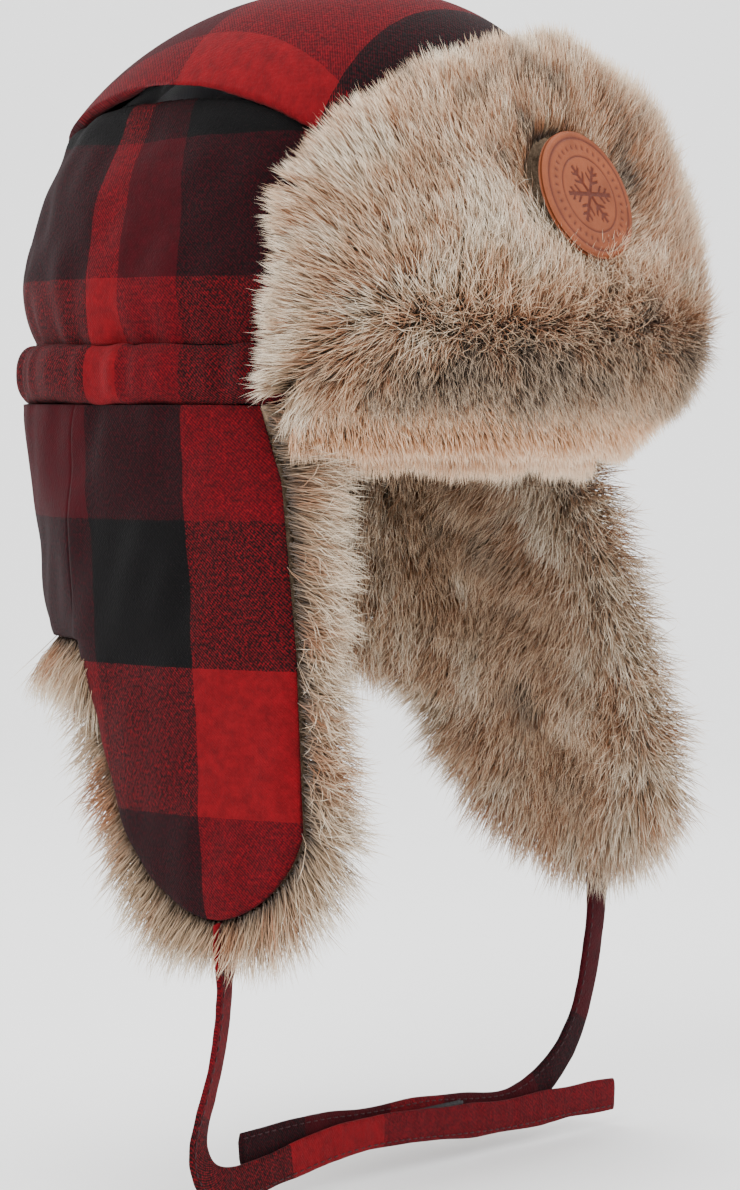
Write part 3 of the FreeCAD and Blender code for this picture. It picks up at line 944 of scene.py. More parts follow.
def flap_edges(over, short=0.0):
    """The ear flap's front and back edges as (Y, Z) rows from the top down to its tip."""
    tip = (-47, -(FLAP_DROP - short + over))
    low_front = (-79 - over, -FLAP_CORNER + short * 0.5)
    low_back = (0 + over, -FLAP_CORNER + short * 0.5)
    front = np.array([(-50 - over * 0.4, 0), (-60 - over, -26), (-71 - over, -84), low_front])
    front = np.concatenate([front, bulge(low_front, tip, 36 + over)[1:]])
    back = np.array([(SPLIT_BACK, 0), (SPLIT_BACK, -84 - over * 0.5), low_back])
    back = np.concatenate([back, bulge(tip, low_back, 66 + over)[::-1][1:]])
    return front, back


def skirt_point(y, z, depth, sign, splay):
    """A point of the skirt at y and z, depth in from its outside; splay swings the left flap."""
    blend_back = smooth(y, 0, 45)
    flap = skirt_form(z, True)
    nape = skirt_form(z, False)
    half_width = lerp(flap[0], nape[0], blend_back) - depth
    half_depth = lerp(flap[1], nape[1], blend_back) - depth
    centre = lerp(flap[2], nape[2], blend_back)
    inside_root = np.clip(1 - ((y - centre) / half_depth) ** 2, 0, None)
    x = sign * half_width * np.sqrt(inside_root)
    point = np.stack([x, y + 0 * x, z + 0 * x], -1)
    if not splay:
        return point
    angle = splay * (1 - smooth(y, 4, 48)) * smooth(-z, 0, 30)
    out = sign * x - HINGE
    turned = out * np.cos(angle) - z * np.sin(angle)
    fallen = out * np.sin(angle) + z * np.cos(angle)
    return np.stack([sign * (turned + HINGE), y + 0 * x, fallen + 0 * x], -1)


def flap_weight(y, z):
    """How far the skirt follows its ear flap: not at all at the roll and where the nape begins."""
    return np.minimum(smooth(-z, 0, 14), 1 - smooth(y, -16, SPLIT_BACK))


def skirt_cloth(side, material):
    """The plaid of one ear flap and half the nape, one cloth from front edge to back seam."""
    sign = -1 if side == "right" else 1
    splay = SPLAY if side == "left" else 0
    front, back = flap_edges(0)
    rows = 130
    t = np.linspace(0, 1, rows)
    z = -0.5 - (FLAP_DROP - 1.0) * np.sin(t * math.pi / 2)
    y_front = np.interp(-z, -front[:, 1], front[:, 0])
    y_back = np.interp(-z, -back[:, 1], back[:, 0])
    columns = 90
    s = np.linspace(0, 1, columns)
    y = lerp(y_back[:, None], y_front[:, None], s[None, :])
    zz = np.broadcast_to(z[:, None], y.shape)
    far = np.minimum(np.abs(y - y_front[:, None]), (FLAP_DROP + zz))
    hem = np.minimum(far, np.where(zz < -82, np.abs(y - y_back[:, None]), 60))
    puff = 2.2 * (1 - np.exp(-hem / 5)) - 1.4 * np.exp(zz / 4)
    point = skirt_point(y, zz, 0, sign, splay)
    normal = grid_normals(point, False) * sign
    normal = np.where((normal[..., :1] * sign) < 0, -normal, normal)
    puff = puff + 0.8 * waves(point, 52, 41) + 0.35 * waves(point, 20, 42)
    puff = puff + 0.7 * np.exp(zz / 12) * waves(point * (1, 1, 0.2), 14, 43)
    outer = point + normal * puff[..., None]
    inner = point - normal * (1.2 + 3.2 * (1 - np.exp(-hem / 5)))[..., None]
    flat = np.stack([-y + 9.5 + 0.1265 * zz, zz], -1)
    piece = padded_grid(
        f"{side}_ear_flap_cloth", outer, inner, flat, material, flip=sign > 0, crisp=True
    )
    weights = flap_weight(np.tile(y.ravel(), 2), np.tile(zz.ravel(), 2))
    bend(piece, f"{side}_flap", weights)
    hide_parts(f"{side}_flap_shell", f"{side}_flap_wadding")


def nape_cloth(material):
    """The nape's plaid, hung from the roll between the ear flaps."""
    rows, columns = 60, 150
    z = -0.5 - 81.5 * np.linspace(0, 1, rows)[:, None]
    half_width, half_depth, centre = skirt_form(z, False)
    limit = np.arccos(np.clip((SPLIT_BACK - centre) / half_depth, -1, 1))
    theta = np.linspace(-1, 1, columns)[None, :] * limit
    x = half_width * np.sin(theta)
    y = centre + half_depth * np.cos(theta)
    point = np.stack([x, y, z + 0 * x], -1)
    normal = unit(np.stack([x / half_width**2, (y - centre) / half_depth**2, 0 * x], -1))
    for side, splay in ((-1, 0), (1, SPLAY)):
        beside = (y < 55) & (x * side > 0)
        point[beside] = skirt_point(y[beside], point[..., 2][beside], 0, side, splay)
    facing = grid_normals(point, False)
    normal = np.where((facing * normal).sum(-1, keepdims=True) < 0, -facing, facing)
    hem = 82 + point[..., 2]
    puff = 2.2 * (1 - np.exp(-hem / 5)) - 1.4 * np.exp(point[..., 2] / 4)
    puff = puff + 0.8 * waves(point, 52, 41) + 0.35 * waves(point, 20, 42)
    puff = puff + 0.7 * np.exp(point[..., 2] / 12) * waves(point * (1, 1, 0.2), 14, 43)
    side_seam = np.abs(theta) * (HALF_WIDTH + HALF_DEPTH) / 2
    puff = puff + seam_dip(side_seam) * 0.8
    outer = point + normal * puff[..., None]
    inner = point - normal * (1.2 + 3.2 * (1 - np.exp(-hem / 5)))[..., None]
    run = np.abs(theta) * np.sqrt(half_width * half_depth)
    flat = np.stack([run - 150, point[..., 2]], -1)
    piece = padded_grid("nape_cloth", outer, inner, flat, material, flip=True, crisp=True)
    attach(piece, "root")
    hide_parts("nape_shell", "nape_wadding")


# ---------------------------------------------------------------- front flap


BRIM_HEIGHTS = (-11, 0, 15, 30, 45, 60, 80, 95, 110, 127)  # where its back is measured
BRIM_LEAN = 12  # how far its crest leans forward
BRIM_LEAN_FROM, BRIM_LEAN_TO = 26, 124
BRIM_SHOULDER, BRIM_CREST = 100, 127
BRIM_SIDE_LINES = (-67, -99)  # Y of the lines that meet its sides at the shoulder and crest
BRIM_ROUND = 108.0  # flat millimetres per radian round the front flap
BRIM_END = math.radians(57)


def brim_measures():
    """Height, half width, half depth and centre of the front flap's back, off its CAD solid."""
    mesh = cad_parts["front_flap_shell"].data
    corners = [vertex.co for vertex in mesh.vertices]
    shell = BVHTree.FromPolygons(corners, [face.vertices for face in mesh.polygons])
    rows = []
    for height in BRIM_HEIGHTS:
        centre = -BRIM_LEAN * smooth(height, BRIM_LEAN_FROM, BRIM_LEAN_TO)
        middle = Vector((0, 0, height * MM))
        depth = centre - shell.ray_cast(middle, Vector((0, -1, 0)))[0].y / MM
        line = np.interp(height, (BRIM_SHOULDER, BRIM_CREST), BRIM_SIDE_LINES)
        beside = Vector((0, line * MM, height * MM))
        reach = shell.ray_cast(beside, Vector((1, 0, 0)))[0].x / MM
        width = reach / math.sqrt(1 - ((line - centre) / depth) ** 2)
        rows.append((height, width, depth, centre))
    return np.array(rows).T


BRIM_MEASURES = brim_measures()
BRIM_FITS = [np.polyfit(BRIM_MEASURES[0], column, 5) for column in BRIM_MEASURES[1:]]


def brim_form(z):
    return [np.polyval(fit, np.clip(z, -14, 130)) for fit in BRIM_FITS]


def brim_place(flat, depth):
    """The front flap's form: flat x is the way round from the middle, flat y its height."""
    half_width, half_depth, centre = brim_form(flat[:, 1])
    theta = flat[:, 0] / BRIM_ROUND
    ahead = np.cos(theta) / half_depth
    out = unit(np.stack([np.sin(theta) / half_width, -ahead, 0.16 * ahead], -1))
    point = np.stack(
        [half_width * np.sin(theta), centre - half_depth * np.cos(theta), flat[:, 1]], -1
    )
    across = np.stack([np.cos(theta), np.sin(theta) * half_depth / half_width, 0 * theta], -1)
    along = np.tile([0.0, 0.22, 1.0], (len(flat), 1))
    return point + out * depth[:, None], out, unit(across), unit(along)


def brim_outline(foot_height=-11):
    """The front flap's flat outline: foot, right end, arched crest, left end."""
    reach = BRIM_END * BRIM_ROUND
    foot = [(-reach, foot_height), (reach, foot_height)]
    left_end = [(reach, 70), (reach - 14, 94)]
    crest = bulge((reach - 14, 94), (-(reach - 14), 84), 182, 24)[1:]
    right_end = [(-reach, 70)]
    return np.concatenate([np.array(foot), np.array(left_end), crest, np.array(right_end)])


def brim_cloth(material, felt):
    """The front flap's plaid back and its felt-like fur backing, one closed pad."""
    outline = brim_outline()
    rows, columns = 70, 120
    reach = BRIM_END * BRIM_ROUND
    s = np.linspace(-1, 1, columns)[None, :] * reach
    edge = outline[2:]
    order = np.argsort(edge[:, 0])
    top = np.interp(s, edge[order][:, 0], edge[order][:, 1])
    height = lerp(-11.0, top, np.linspace(0, 1, rows)[:, None])
    flat = np.stack([np.broadcast_to(s, height.shape), height], -1)
    flat_list = flat.reshape(-1, 2)
    count = np.zeros(len(flat_list))
    back = brim_place(flat_list, count + 0.4)[0].reshape(*flat.shape[:2], 3)
    mid = brim_place(flat_list, count + 1.6)[0].reshape(*flat.shape[:2], 3)
    front = brim_place(flat_list, brim_pad(flat_list))[0].reshape(*flat.shape[:2], 3)
    cloth = padded_grid("front_flap_cloth", mid, back, flat, material, flip=True)
    pad = padded_grid("front_flap_fur_backing", front, mid, flat, felt, flip=True)
    for piece, nodes in ((cloth, ("front_flap_shell", "front_flap_stiffener")), (pad, ())):
        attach(piece, "front_flap")
        if nodes:
            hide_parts(*nodes)


BADGE_CENTRE = (BADGE_LOW + BADGE_HIGH) / 2
BADGE_RADIUS = (BADGE_HIGH[0] - BADGE_LOW[0]) / 2


def from_badge(flat):
    """The flat way out from the badge's middle, and the distance."""
    middle = (BADGE_CENTRE[0] * 1.08, BADGE_CENTRE[2])
    way = flat - middle
    return way, np.linalg.norm(way, axis=1)


def brim_pad(flat):
    """How thick the fur's dense foot is: thin at the edges and under the badge."""
    outline = brim_outline()
    far = edge_distance(flat, np.concatenate([outline, outline[:1]]))
    full = 9.5 - 5.0 * smooth(flat[:, 1], 70, 120)
    return 2.4 + full * (1 - np.exp(-far / 9)) * smooth(from_badge(flat)[1], 15, 46)


def front_fur(material):
    outline = brim_outline(4)
    edge = np.concatenate([outline, outline[:1]])

    def tone(flat):
        """Pale at the ends, rust patches over the face, painted shade along the fold below and in the dent
        beside the badge.
        """
        across, height = flat.T
        points = np.pad(flat, ((0, 0), (0, 1)))
        face = np.exp(-(((height - 78) / 36) ** 2) - (((across + 30) / 62) ** 2))
        rust = face * (0.4 + 0.32 * waves(points, 24, 71))
        # Painted shade: darker strands along the fold, where the parting shows the shaded roots.
        fold = 0.72 * np.exp(-(((height - 10) / 17) ** 2)) * (1 - smooth(np.abs(across), 78, 112))
        # Painted shade: a dark patch of strands in the dent beside the badge.
        behind = 0.45 * np.exp(-((np.hypot(across - 32, (height - 58) * 0.7) / 20) ** 2))
        streak = 0.15 * waves(points * (1, 0.22, 1), 6, 74)
        return 0.14 + rust + fold + behind + streak

    def flow(flat):
        """Combed up over the face, down below the fold, and out at the ends and round the badge."""
        across, height = flat.T
        up = -0.85 + 1.75 * smooth(height, 2, 40)
        points = np.pad(flat, ((0, 0), (0, 1)))
        out = 0.9 * np.sign(across) * smooth(np.abs(across), 62, 108)
        way, far = from_badge(flat)
        part = unit(way) * np.exp(-(((far - 24) / 14) ** 2))[:, None] * 0.8
        side = out + part[:, 0] + 0.24 * waves(points, 70, 72)
        side = side - 0.4 * np.exp(-(((height - 20) / 14) ** 2))
        return side, up * (1 - 0.5 * np.abs(out)) + part[:, 1] + 0.15 * waves(points, 50, 73)

    spec = {
        "seed": 7,
        "spacing": 0.68,
        "rim_spacing": 0.42,
        "rim_rows": 7,
        "rim_lift": (-0.5, 0.75),
        "thick": brim_pad,
        "edge_reach": 10.0,
        "edge_push": 0.9,
        "edge_length": 0.72,
        "edge_lean": 0.55,
        "flow": flow,
        "comb": 1.25,
        "length": 19.0,
        "width": 0.4,
        "clump": 6.0,
        "tone": tone,
        "short": lambda flat: 0.66 + 0.34 * smooth(from_badge(flat)[1], 22, 40),
        "skip": lambda flat: from_badge(flat)[1] < 20,
    }
    sheets = fur_sheet("front_flap_fur_pile", outline, edge, brim_place, material, spec)
    lay_fur(sheets, "front_flap", "front_flap_fur")


def fold_fur(material):
    """The pale pile along the front flap's fold, which hangs from under its face."""
    reach = BRIM_END * BRIM_ROUND - 2
    outline = np.array([(-reach, -11), (reach, -11), (reach, 9), (-reach, 9)], float)

    def flow(flat):
        points = np.pad(flat, ((0, 0), (0, 1)))
        return 0.2 * waves(points, 30, 46), -0.9 + 0 * flat[:, 0]

    spec = {
        "seed": 45,
        "spacing": 0.85,
        "rim_spacing": 0.4,
        "rim_rows": 6,
        "rim_lift": (-0.4, 0.6),
        "thick": lambda flat: brim_pad(flat) * 0.8,
        "edge_reach": 7.0,
        "edge_push": 0.9,
        "edge_length": 0.95,
        "edge_lean": 0.75,
        "flow": flow,
        "comb": 1.0,
        "length": 10.5,
        "width": 0.44,
        "clump": 5.0,
        "tone": lambda flat: 0.2 + 0 * flat[:, 0],
    }
    edge = outline[:2]
    lay_fur(fur_sheet("front_flap_fold_pile", outline, edge, brim_place, material, spec), "front_flap")


def leather_badge(material):
    """A round badge with a pressed rim ring, a ring of dots and a six-armed snow star."""
    rings, sides = 90, 300
    radius = np.linspace(0, 1, rings)[:, None] * BADGE_RADIUS
    theta = np.linspace(0, TURN, sides, endpoint=False)[None, :]
    x, y = radius * np.cos(theta), radius * np.sin(theta)
    pressed = np.exp(-(((radius - 20.2) / 0.55) ** 2)) + 0 * theta
    dots = (np.cos(theta * 36) * 0.5 + 0.5) ** 3 * np.exp(-(((radius - 16.8) / 0.9) ** 4))
    sector = (theta + math.pi / 6) % (math.pi / 3) - math.pi / 6
    along, off = radius * np.cos(sector), np.abs(radius * np.sin(sector))
    arm = np.where((along < 11.5) & (off < 0.75), 1.0, 0.0)
    twig = 0.0
    for fork, reach in ((4.5, 3.2), (7.8, 2.4)):
        slant = np.abs(along - fork - off * 0.8)
        twig = np.maximum(twig, np.where((slant < 0.7) & (off < reach), 1.0, 0.0))
    ring = np.exp(-(((radius - 13.6) / 0.35) ** 2)) + 0 * theta
    pressed = np.clip(np.maximum.reduce([pressed, dots, arm, twig, ring]), 0, 1)
    edge = smooth(radius, BADGE_RADIUS - 1.6, BADGE_RADIUS)
    warp = 0.5 * (x / BADGE_RADIUS) ** 2
    top = 4.5 - 0.4 * pressed - 0.9 * edge**2 - warp
    bottom = 1.9 + 0.3 * edge - warp + 0 * theta
    lean = math.radians(20)
    out = np.array([0, -math.cos(lean), math.sin(lean)])
    up = np.array([0, math.sin(lean), math.cos(lean)])

    def lay(height):
        grid = BADGE_CENTRE + out * height[..., None]
        return grid + np.array([1.0, 0, 0]) * x[..., None] + up * y[..., None]

    points = np.concatenate([lay(top).reshape(-1, 3), lay(bottom).reshape(-1, 3)])
    count = rings * sides
    faces = [
        *grid_faces(rings, sides, True, 0),
        *grid_faces(rings, sides, True, count, True),
    ]
    last = (rings - 1) * sides
    column = np.arange(sides)
    right = (column + 1) % sides
    over, under = last + column, last + column + count
    far_over, far_under = last + right, last + right + count
    faces += list(np.stack([under, far_under, far_over, over], -1))
    piece = make_mesh("round_leather_badge", points, faces, material)
    mark = piece.data.attributes.new("pressed", "FLOAT", "POINT")
    mark.data.foreach_set("value", np.tile(pressed.ravel(), 2).astype(np.float32))
    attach(piece, "front_flap")
    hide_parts("leather_badge")


# ---------------------------------------------------------------- fur of the skirt and brow


BACKING_DEPTHS = (3.6, 6.4)  # the fur backing's two faces, in from the cloth
NAPE_ROUND = 100.0  # flat millimetres per radian round the nape


def skirt_place(sign, splay):
    def place(flat, depth):
        y, z = flat[:, 0], flat[:, 1]
        point = skirt_point(y, z, 1.0 + depth, sign, splay)
        ahead = skirt_point(y + 0.5, z, 1.0 + depth, sign, splay)
        above = skirt_point(y, z + 0.5, 1.0 + depth, sign, splay)
        across, along = unit(ahead - point), unit(above - point)
        normal = np.cross(across, along)
        normal = np.where(normal[:, :1] * sign > 0, -normal, normal)
        return point, unit(normal), across, along

    return place


def flap_fur(side, material, felt):
    sign = -1 if side == "right" else 1
    splay = SPLAY if side == "left" else 0
    over, short = (1, 0) if side == "right" else (4, 14)
    front, back = flap_edges(over, short)
    outline = np.concatenate([front, back[::-1][1:]])
    lower = back[back[:, 1] < -80]
    edge = np.concatenate([front, lower[::-1][1:]])
    place = skirt_place(sign, splay)

    def tone(flat):
        """Grey-brown above, warmer low down, with dark patches; pale at the free edge."""
        points = np.pad(flat, ((0, 0), (0, 1)))
        low = (-0.06 if side == "right" else 0.12) * smooth(-flat[:, 1], 90, 150)
        inner = (0.2 if side == "right" else 0.46) * smooth(edge_distance(flat, edge), 4, 30)
        return 0.06 + low + inner + 0.14 * waves(points, 30, 81)

    def flow(flat):
        points = np.pad(flat, ((0, 0), (0, 1)))
        return 0.3 * waves(points, 60, 82), -0.9 + 0.15 * waves(points, 44, 83)

    spec = {
        "seed": 21 if side == "right" else 22,
        "spacing": 0.88,
        "rim_spacing": 0.42,
        "rim_rows": 8,
        "rim_lift": (-0.85, 0.7),
        "thick": lambda flat: np.full(len(flat), 6.4),
        "edge_reach": 9.0,
        "edge_push": 1.0,
        "edge_length": 1.12,
        "edge_lean": 0.65,
        "flow": flow,
        "comb": 0.95,
        "length": 21.0,
        "width": 0.46,
        "clump": 6.0,
        "tone": tone,
    }
    sheets = fur_sheet(f"{side}_flap_fur_pile", outline, edge, place, material, spec)
    for number, (piece, roots) in enumerate(sheets):
        bend(piece, f"{side}_flap", flap_weight(roots[:, 1], roots[:, 2]))
        if number == 0:
            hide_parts(f"{side}_flap_fur")
    front, back = flap_edges(-1.5, short)
    backing(f"{side}_flap_fur_backing", front, back, place, felt, f"{side}_flap", sign)


def backing(name, front, back, place, felt, body, sign):
    """The fur's felt-like backing under its strands."""
    rows, columns = 80, 50
    depth_end = -front[-1, 1] - 3
    z = -1.5 - (depth_end - 1.5) * np.sin(np.linspace(0, 1, rows) * math.pi / 2)
    y_front = np.interp(-z, -front[:, 1], front[:, 0])
    y_back = np.interp(-z, -back[:, 1], back[:, 0])
    y = lerp(y_back[:, None] - 1, y_front[:, None] + 1, np.linspace(0, 1, columns)[None, :])
    flat = np.stack([y, np.broadcast_to(z[:, None], y.shape)], -1)
    piece = padded_backing(name, place, flat, BACKING_DEPTHS, felt, flip=sign > 0)
    bend(piece, body, flap_weight(np.tile(flat[..., 0].ravel(), 2), np.tile(flat[..., 1].ravel(), 2)))


def nape_place(flat, depth):
    """The nape's inside: flat x is the angle round from the back times NAPE_ROUND."""
    half_width, half_depth, centre = skirt_form(flat[:, 1], False)
    half_width, half_depth = half_width - 1.0 - depth, half_depth - 1.0 - depth
    theta = flat[:, 0] / NAPE_ROUND
    point = np.stack(
        [half_width * np.sin(theta), centre + half_depth * np.cos(theta), flat[:, 1]], -1
    )
    level = 0 * theta
    inward = -np.stack([np.sin(theta) / half_width, np.cos(theta) / half_depth, level], -1)
    across = np.stack([half_width * np.cos(theta), -half_depth * np.sin(theta), level], -1)
    along = np.tile([0.0, 0.1, 1.0], (len(flat), 1))
    return point, unit(inward), unit(across), unit(along)


def nape_fur(material, felt):
    reach = 1.2 * NAPE_ROUND
    outline = np.array([(-reach, -1), (-reach, -84), (reach, -84), (reach, -1)], float)
    edge = outline[1:3]
    spec = {
        "seed": 33,
        "spacing": 1.0,
        "rim_spacing": 0.42,
        "rim_rows": 9,
        "rim_lift": (-1.4, 0.4),
        "thick": lambda flat: np.full(len(flat), 6.4),
        "edge_reach": 9.0,
        "edge_push": 0.9,
        "edge_length": 1.45,
        "edge_lean": 0.6,
        "flow": lambda flat: (0 * flat[:, 0], -0.9 + 0 * flat[:, 0]),
        "comb": 0.9,
        "length": 20.0,
        "width": 0.5,
        "clump": 6.0,
        "tone": lambda flat: 0.02 + 0.4 * smooth(flat[:, 1], -78, -50),
    }
    sheets = fur_sheet("nape_fur_pile", outline, edge, nape_place, material, spec)
    lay_fur(sheets, "root", "nape_fur")
    flat = band_grid((-1.5, -81), reach, 40)
    piece = padded_backing("nape_fur_backing", nape_place, flat, BACKING_DEPTHS, felt)
    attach(piece, "root")


def brow_place(flat, depth):
    """The brow band's form under the front flap: flat x runs round from the middle."""
    theta = flat[:, 0] / BRIM_ROUND
    half_width, half_depth = HALF_WIDTH - 2 - depth, HALF_DEPTH - 2 - depth
    point = np.stack([half_width * np.sin(theta), -half_depth * np.cos(theta), flat[:, 1]], -1)
    level = 0 * theta
    inward = -np.stack([np.sin(theta) / half_width, -np.cos(theta) / half_depth, level], -1)
    across = np.stack([half_width * np.cos(theta), half_depth * np.sin(theta), level], -1)
    along = np.tile([0.0, 0.0, 1.0], (len(flat), 1))
    return point, unit(inward), unit(across), along


def brow_fur(material, felt):
    reach = math.radians(62) * BRIM_ROUND
    outline = np.array([(-reach, -1), (-reach, -11), (reach, -11), (reach, -1)], float)
    spec = {
        "seed": 44,
        "spacing": 0.9,
        "rim_spacing": 0.36,
        "rim_rows": 9,
        "rim_lift": (-0.2, 0.6),
        "thick": lambda flat: np.full(len(flat), 5.0),
        "edge_reach": 6.0,
        "edge_push": 1.0,
        "edge_length": 1.0,
        "edge_lean": 0.8,
        "flow": lambda flat: (0 * flat[:, 0], -0.9 + 0 * flat[:, 0]),
        "comb": 0.8,
        "length": 15.0,
        "width": 0.46,
        "clump": 5.0,
        "tone": lambda flat: 0.2 + 0 * flat[:, 0],
    }
    sheets = fur_sheet("brow_fur_pile", outline, outline[1:3], brow_place, material, spec)
    lay_fur(sheets, "root", "brow_fur_band")
    flat = band_grid((-0.5, -10.5), reach, 10)
    piece = padded_backing("brow_fur_backing", brow_place, flat, (-1.0, 5.0), felt, flip=False)
    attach(piece, "root")


# ---------------------------------------------------------------- ties

TIE_WIDTH = 12.0
TIE_THICK = 2.2
TIE_PLANES = {"right": -48.8, "left": -44.4}
TIE_ROUTES = {
    "right": (
        (-98.8, -172.5),
        (-98.8, -191.5),
        (-101, -211.5),
        (-107, -229.5),
        (-114, -246),
        (-109, -259),
        (-94, -262.5),
        (-71, -259),
        (-38, -254.5),
        (-6, -255),
        (26, -258),
        (60, -260),
        (90, -259.5),
        (119, -260.5),
    ),
    "left": (
        (114.2, -172),
        (114.2, -188.5),
        (111, -205.5),
        (106, -223.5),
        (97, -239),
        (82, -251),
        (62, -257.5),
        (38, -256),
        (12, -252.5),
        (-18, -253),
        (-54, -250.5),
        (-87, -252),
    ),
}


def route_line(name, points):
    """The smooth line of a route, as points read from its NURBS spline, in metres."""
    curve = bpy.data.curves.new(name, "CURVE")
    curve.dimensions = "3D"
    curve.resolution_u = 12
    spline = curve.splines.new("NURBS")
    spline.points.add(len(points) - 1)
    for spot, point in zip(spline.points, points):
        spot.co = (*[c * MM for c in point], 1.0)
    spline.order_u = 3
    spline.use_endpoint_u = True
    holder = bpy.data.objects.new(name, curve)
    mesh = bpy.data.meshes.new_from_object(holder)
    line = np.array([v.co for v in mesh.vertices])
    bpy.data.objects.remove(holder)
    bpy.data.meshes.remove(mesh)
    return line


def tie(side, material, thread_finish, tape_finish):
    """A flat tie of folded cloth, edge-stitched, along its route."""
    plane = TIE_PLANES[side]
    line = route_line(f"{side}_tie_route", [(x, plane, z) for x, z in TIE_ROUTES[side]])
    path = line / MM
    steps = np.linalg.norm(np.diff(path, axis=0), axis=1)
    reach = np.concatenate([[0], np.cumsum(steps)])
    at = np.arange(0, reach[-1], 1.0)
    at = np.append(at, reach[-1])
    centre = np.stack([np.interp(at, reach, path[:, k]) for k in range(3)], -1)
    way = unit(np.gradient(centre, axis=0))
    for _ in range(3):
        way[1:-1] = unit(way[:-2] + way[1:-1] + way[2:])
    out = np.array([0.0, -1.0, 0.0])
    wide = unit(np.cross(way, out))
    hang = -0.4 if side == "right" else -0.1
    twist = hang * smooth(at, 4, 24) * (1 - smooth(at, 66, 92))
    face = out * np.cos(twist)[:, None] + wide * np.sin(twist)[:, None]
    wide = wide * np.cos(twist)[:, None] - out * np.sin(twist)[:, None]
    sides = 20
    angle = np.arange(sides) * TURN / sides
    across = np.sign(np.cos(angle)) * np.abs(np.cos(angle)) ** 0.35 * TIE_WIDTH / 2
    through = np.sign(np.sin(angle)) * np.abs(np.sin(angle)) ** 0.7 * TIE_THICK / 2
    soft = 1 + 0.05 * waves(centre, 30, 51)[:, None]
    ends = np.clip(np.minimum(at, reach[-1] - at) / 1.2 + 0.55, 0, 1)[:, None]
    points = (
        centre[:, None]
        + wide[:, None] * (across[None, :] * soft * ends)[..., None]
        + face[:, None] * (through[None, :] * ends)[..., None]
    )
    ripple = 0.25 * waves(points, 9, 52)
    points = points + out * (ripple * np.sign(through)[None, :] * 0.5)[..., None]
    rows = len(at)
    faces = list(grid_faces(rows, sides, True, flip=True))
    faces.append(np.arange(sides))
    faces.append(np.arange(sides)[::-1] + (rows - 1) * sides)
    flat = np.stack(np.broadcast_arrays(across[None, :], at[:, None]), -1)
    name = f"{side}_flat_tie"
    piece = make_mesh(name, points.reshape(-1, 3), faces, material, flat.reshape(-1, 2) * MM)
    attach(piece, f"{side}_flap")
    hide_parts(f"{side}_tie")
    row = centre + wide * (TIE_WIDTH / 2 - 1.8) + face * (TIE_THICK / 2)
    stitched = stitches(f"{side}_tie_stitch_row", row, face, thread_finish, 2.4, 1.2, 0.45)
    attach(stitched, f"{side}_flap")
    tape = tie_tape(side, tape_finish)


def tie_tape(side, material):
    """The strip of hook or loop tape sewn to the tie, a slab with a soft knapped face."""
    node = "right_hook_tape" if side == "right" else "left_loop_tape"
    low, high = corner_box(node)
    rows, columns = 60, 12
    x = np.linspace(low[0], high[0], rows)[:, None]
    z = np.linspace(low[2], high[2], columns)[None, :]
    grid = np.stack([x + 0 * z, 0 * x + 0 * z, z + 0 * x], -1)
    edge = np.minimum(np.minimum(x - low[0], high[0] - x), np.minimum(z - low[2], high[2] - z))
    thick = 0.12 + 0.3 * (1 - np.exp(-edge / 0.5)) + 0.05 * waves(grid, 1.5, 61)
    middle = (low[1] + high[1]) / 2
    front, rear = grid.copy(), grid.copy()
    front[..., 1] = middle - np.clip(thick, 0.05, 0.44)
    rear[..., 1] = middle + np.clip(thick, 0.05, 0.44)
    piece = padded_grid(f"{node}_strip", front, rear, grid[..., [0, 2]], material)
    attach(piece, f"{side}_flap")
    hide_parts(node)
    return piece


def tie_tack(side, material):
    """Bar tack: close thread bars over the tie's end in the hem."""
    low, high = corner_box(f"{side}_tie_tack")
    middle = (low[1] + high[1]) / 2
    path = []
    for number in range(9):
        z = lerp(low[2] + 0.6, high[2] - 0.6, number / 8)
        ends = (low[0] + 0.5, high[0] - 0.5)
        path += [(x, middle, z) for x in (ends if number % 2 == 0 else ends[::-1])]
    path = np.array(path)
    facing = np.tile([0, -1.0, 0], (len(path), 1))
    piece = stitches(f"{side}_bar_tack", path, facing, material, 6.0, 0.4, 1.0)
    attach(piece, f"{side}_flap")
    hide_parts(f"{side}_tie_tack")


# ---------------------------------------------------------------- studio


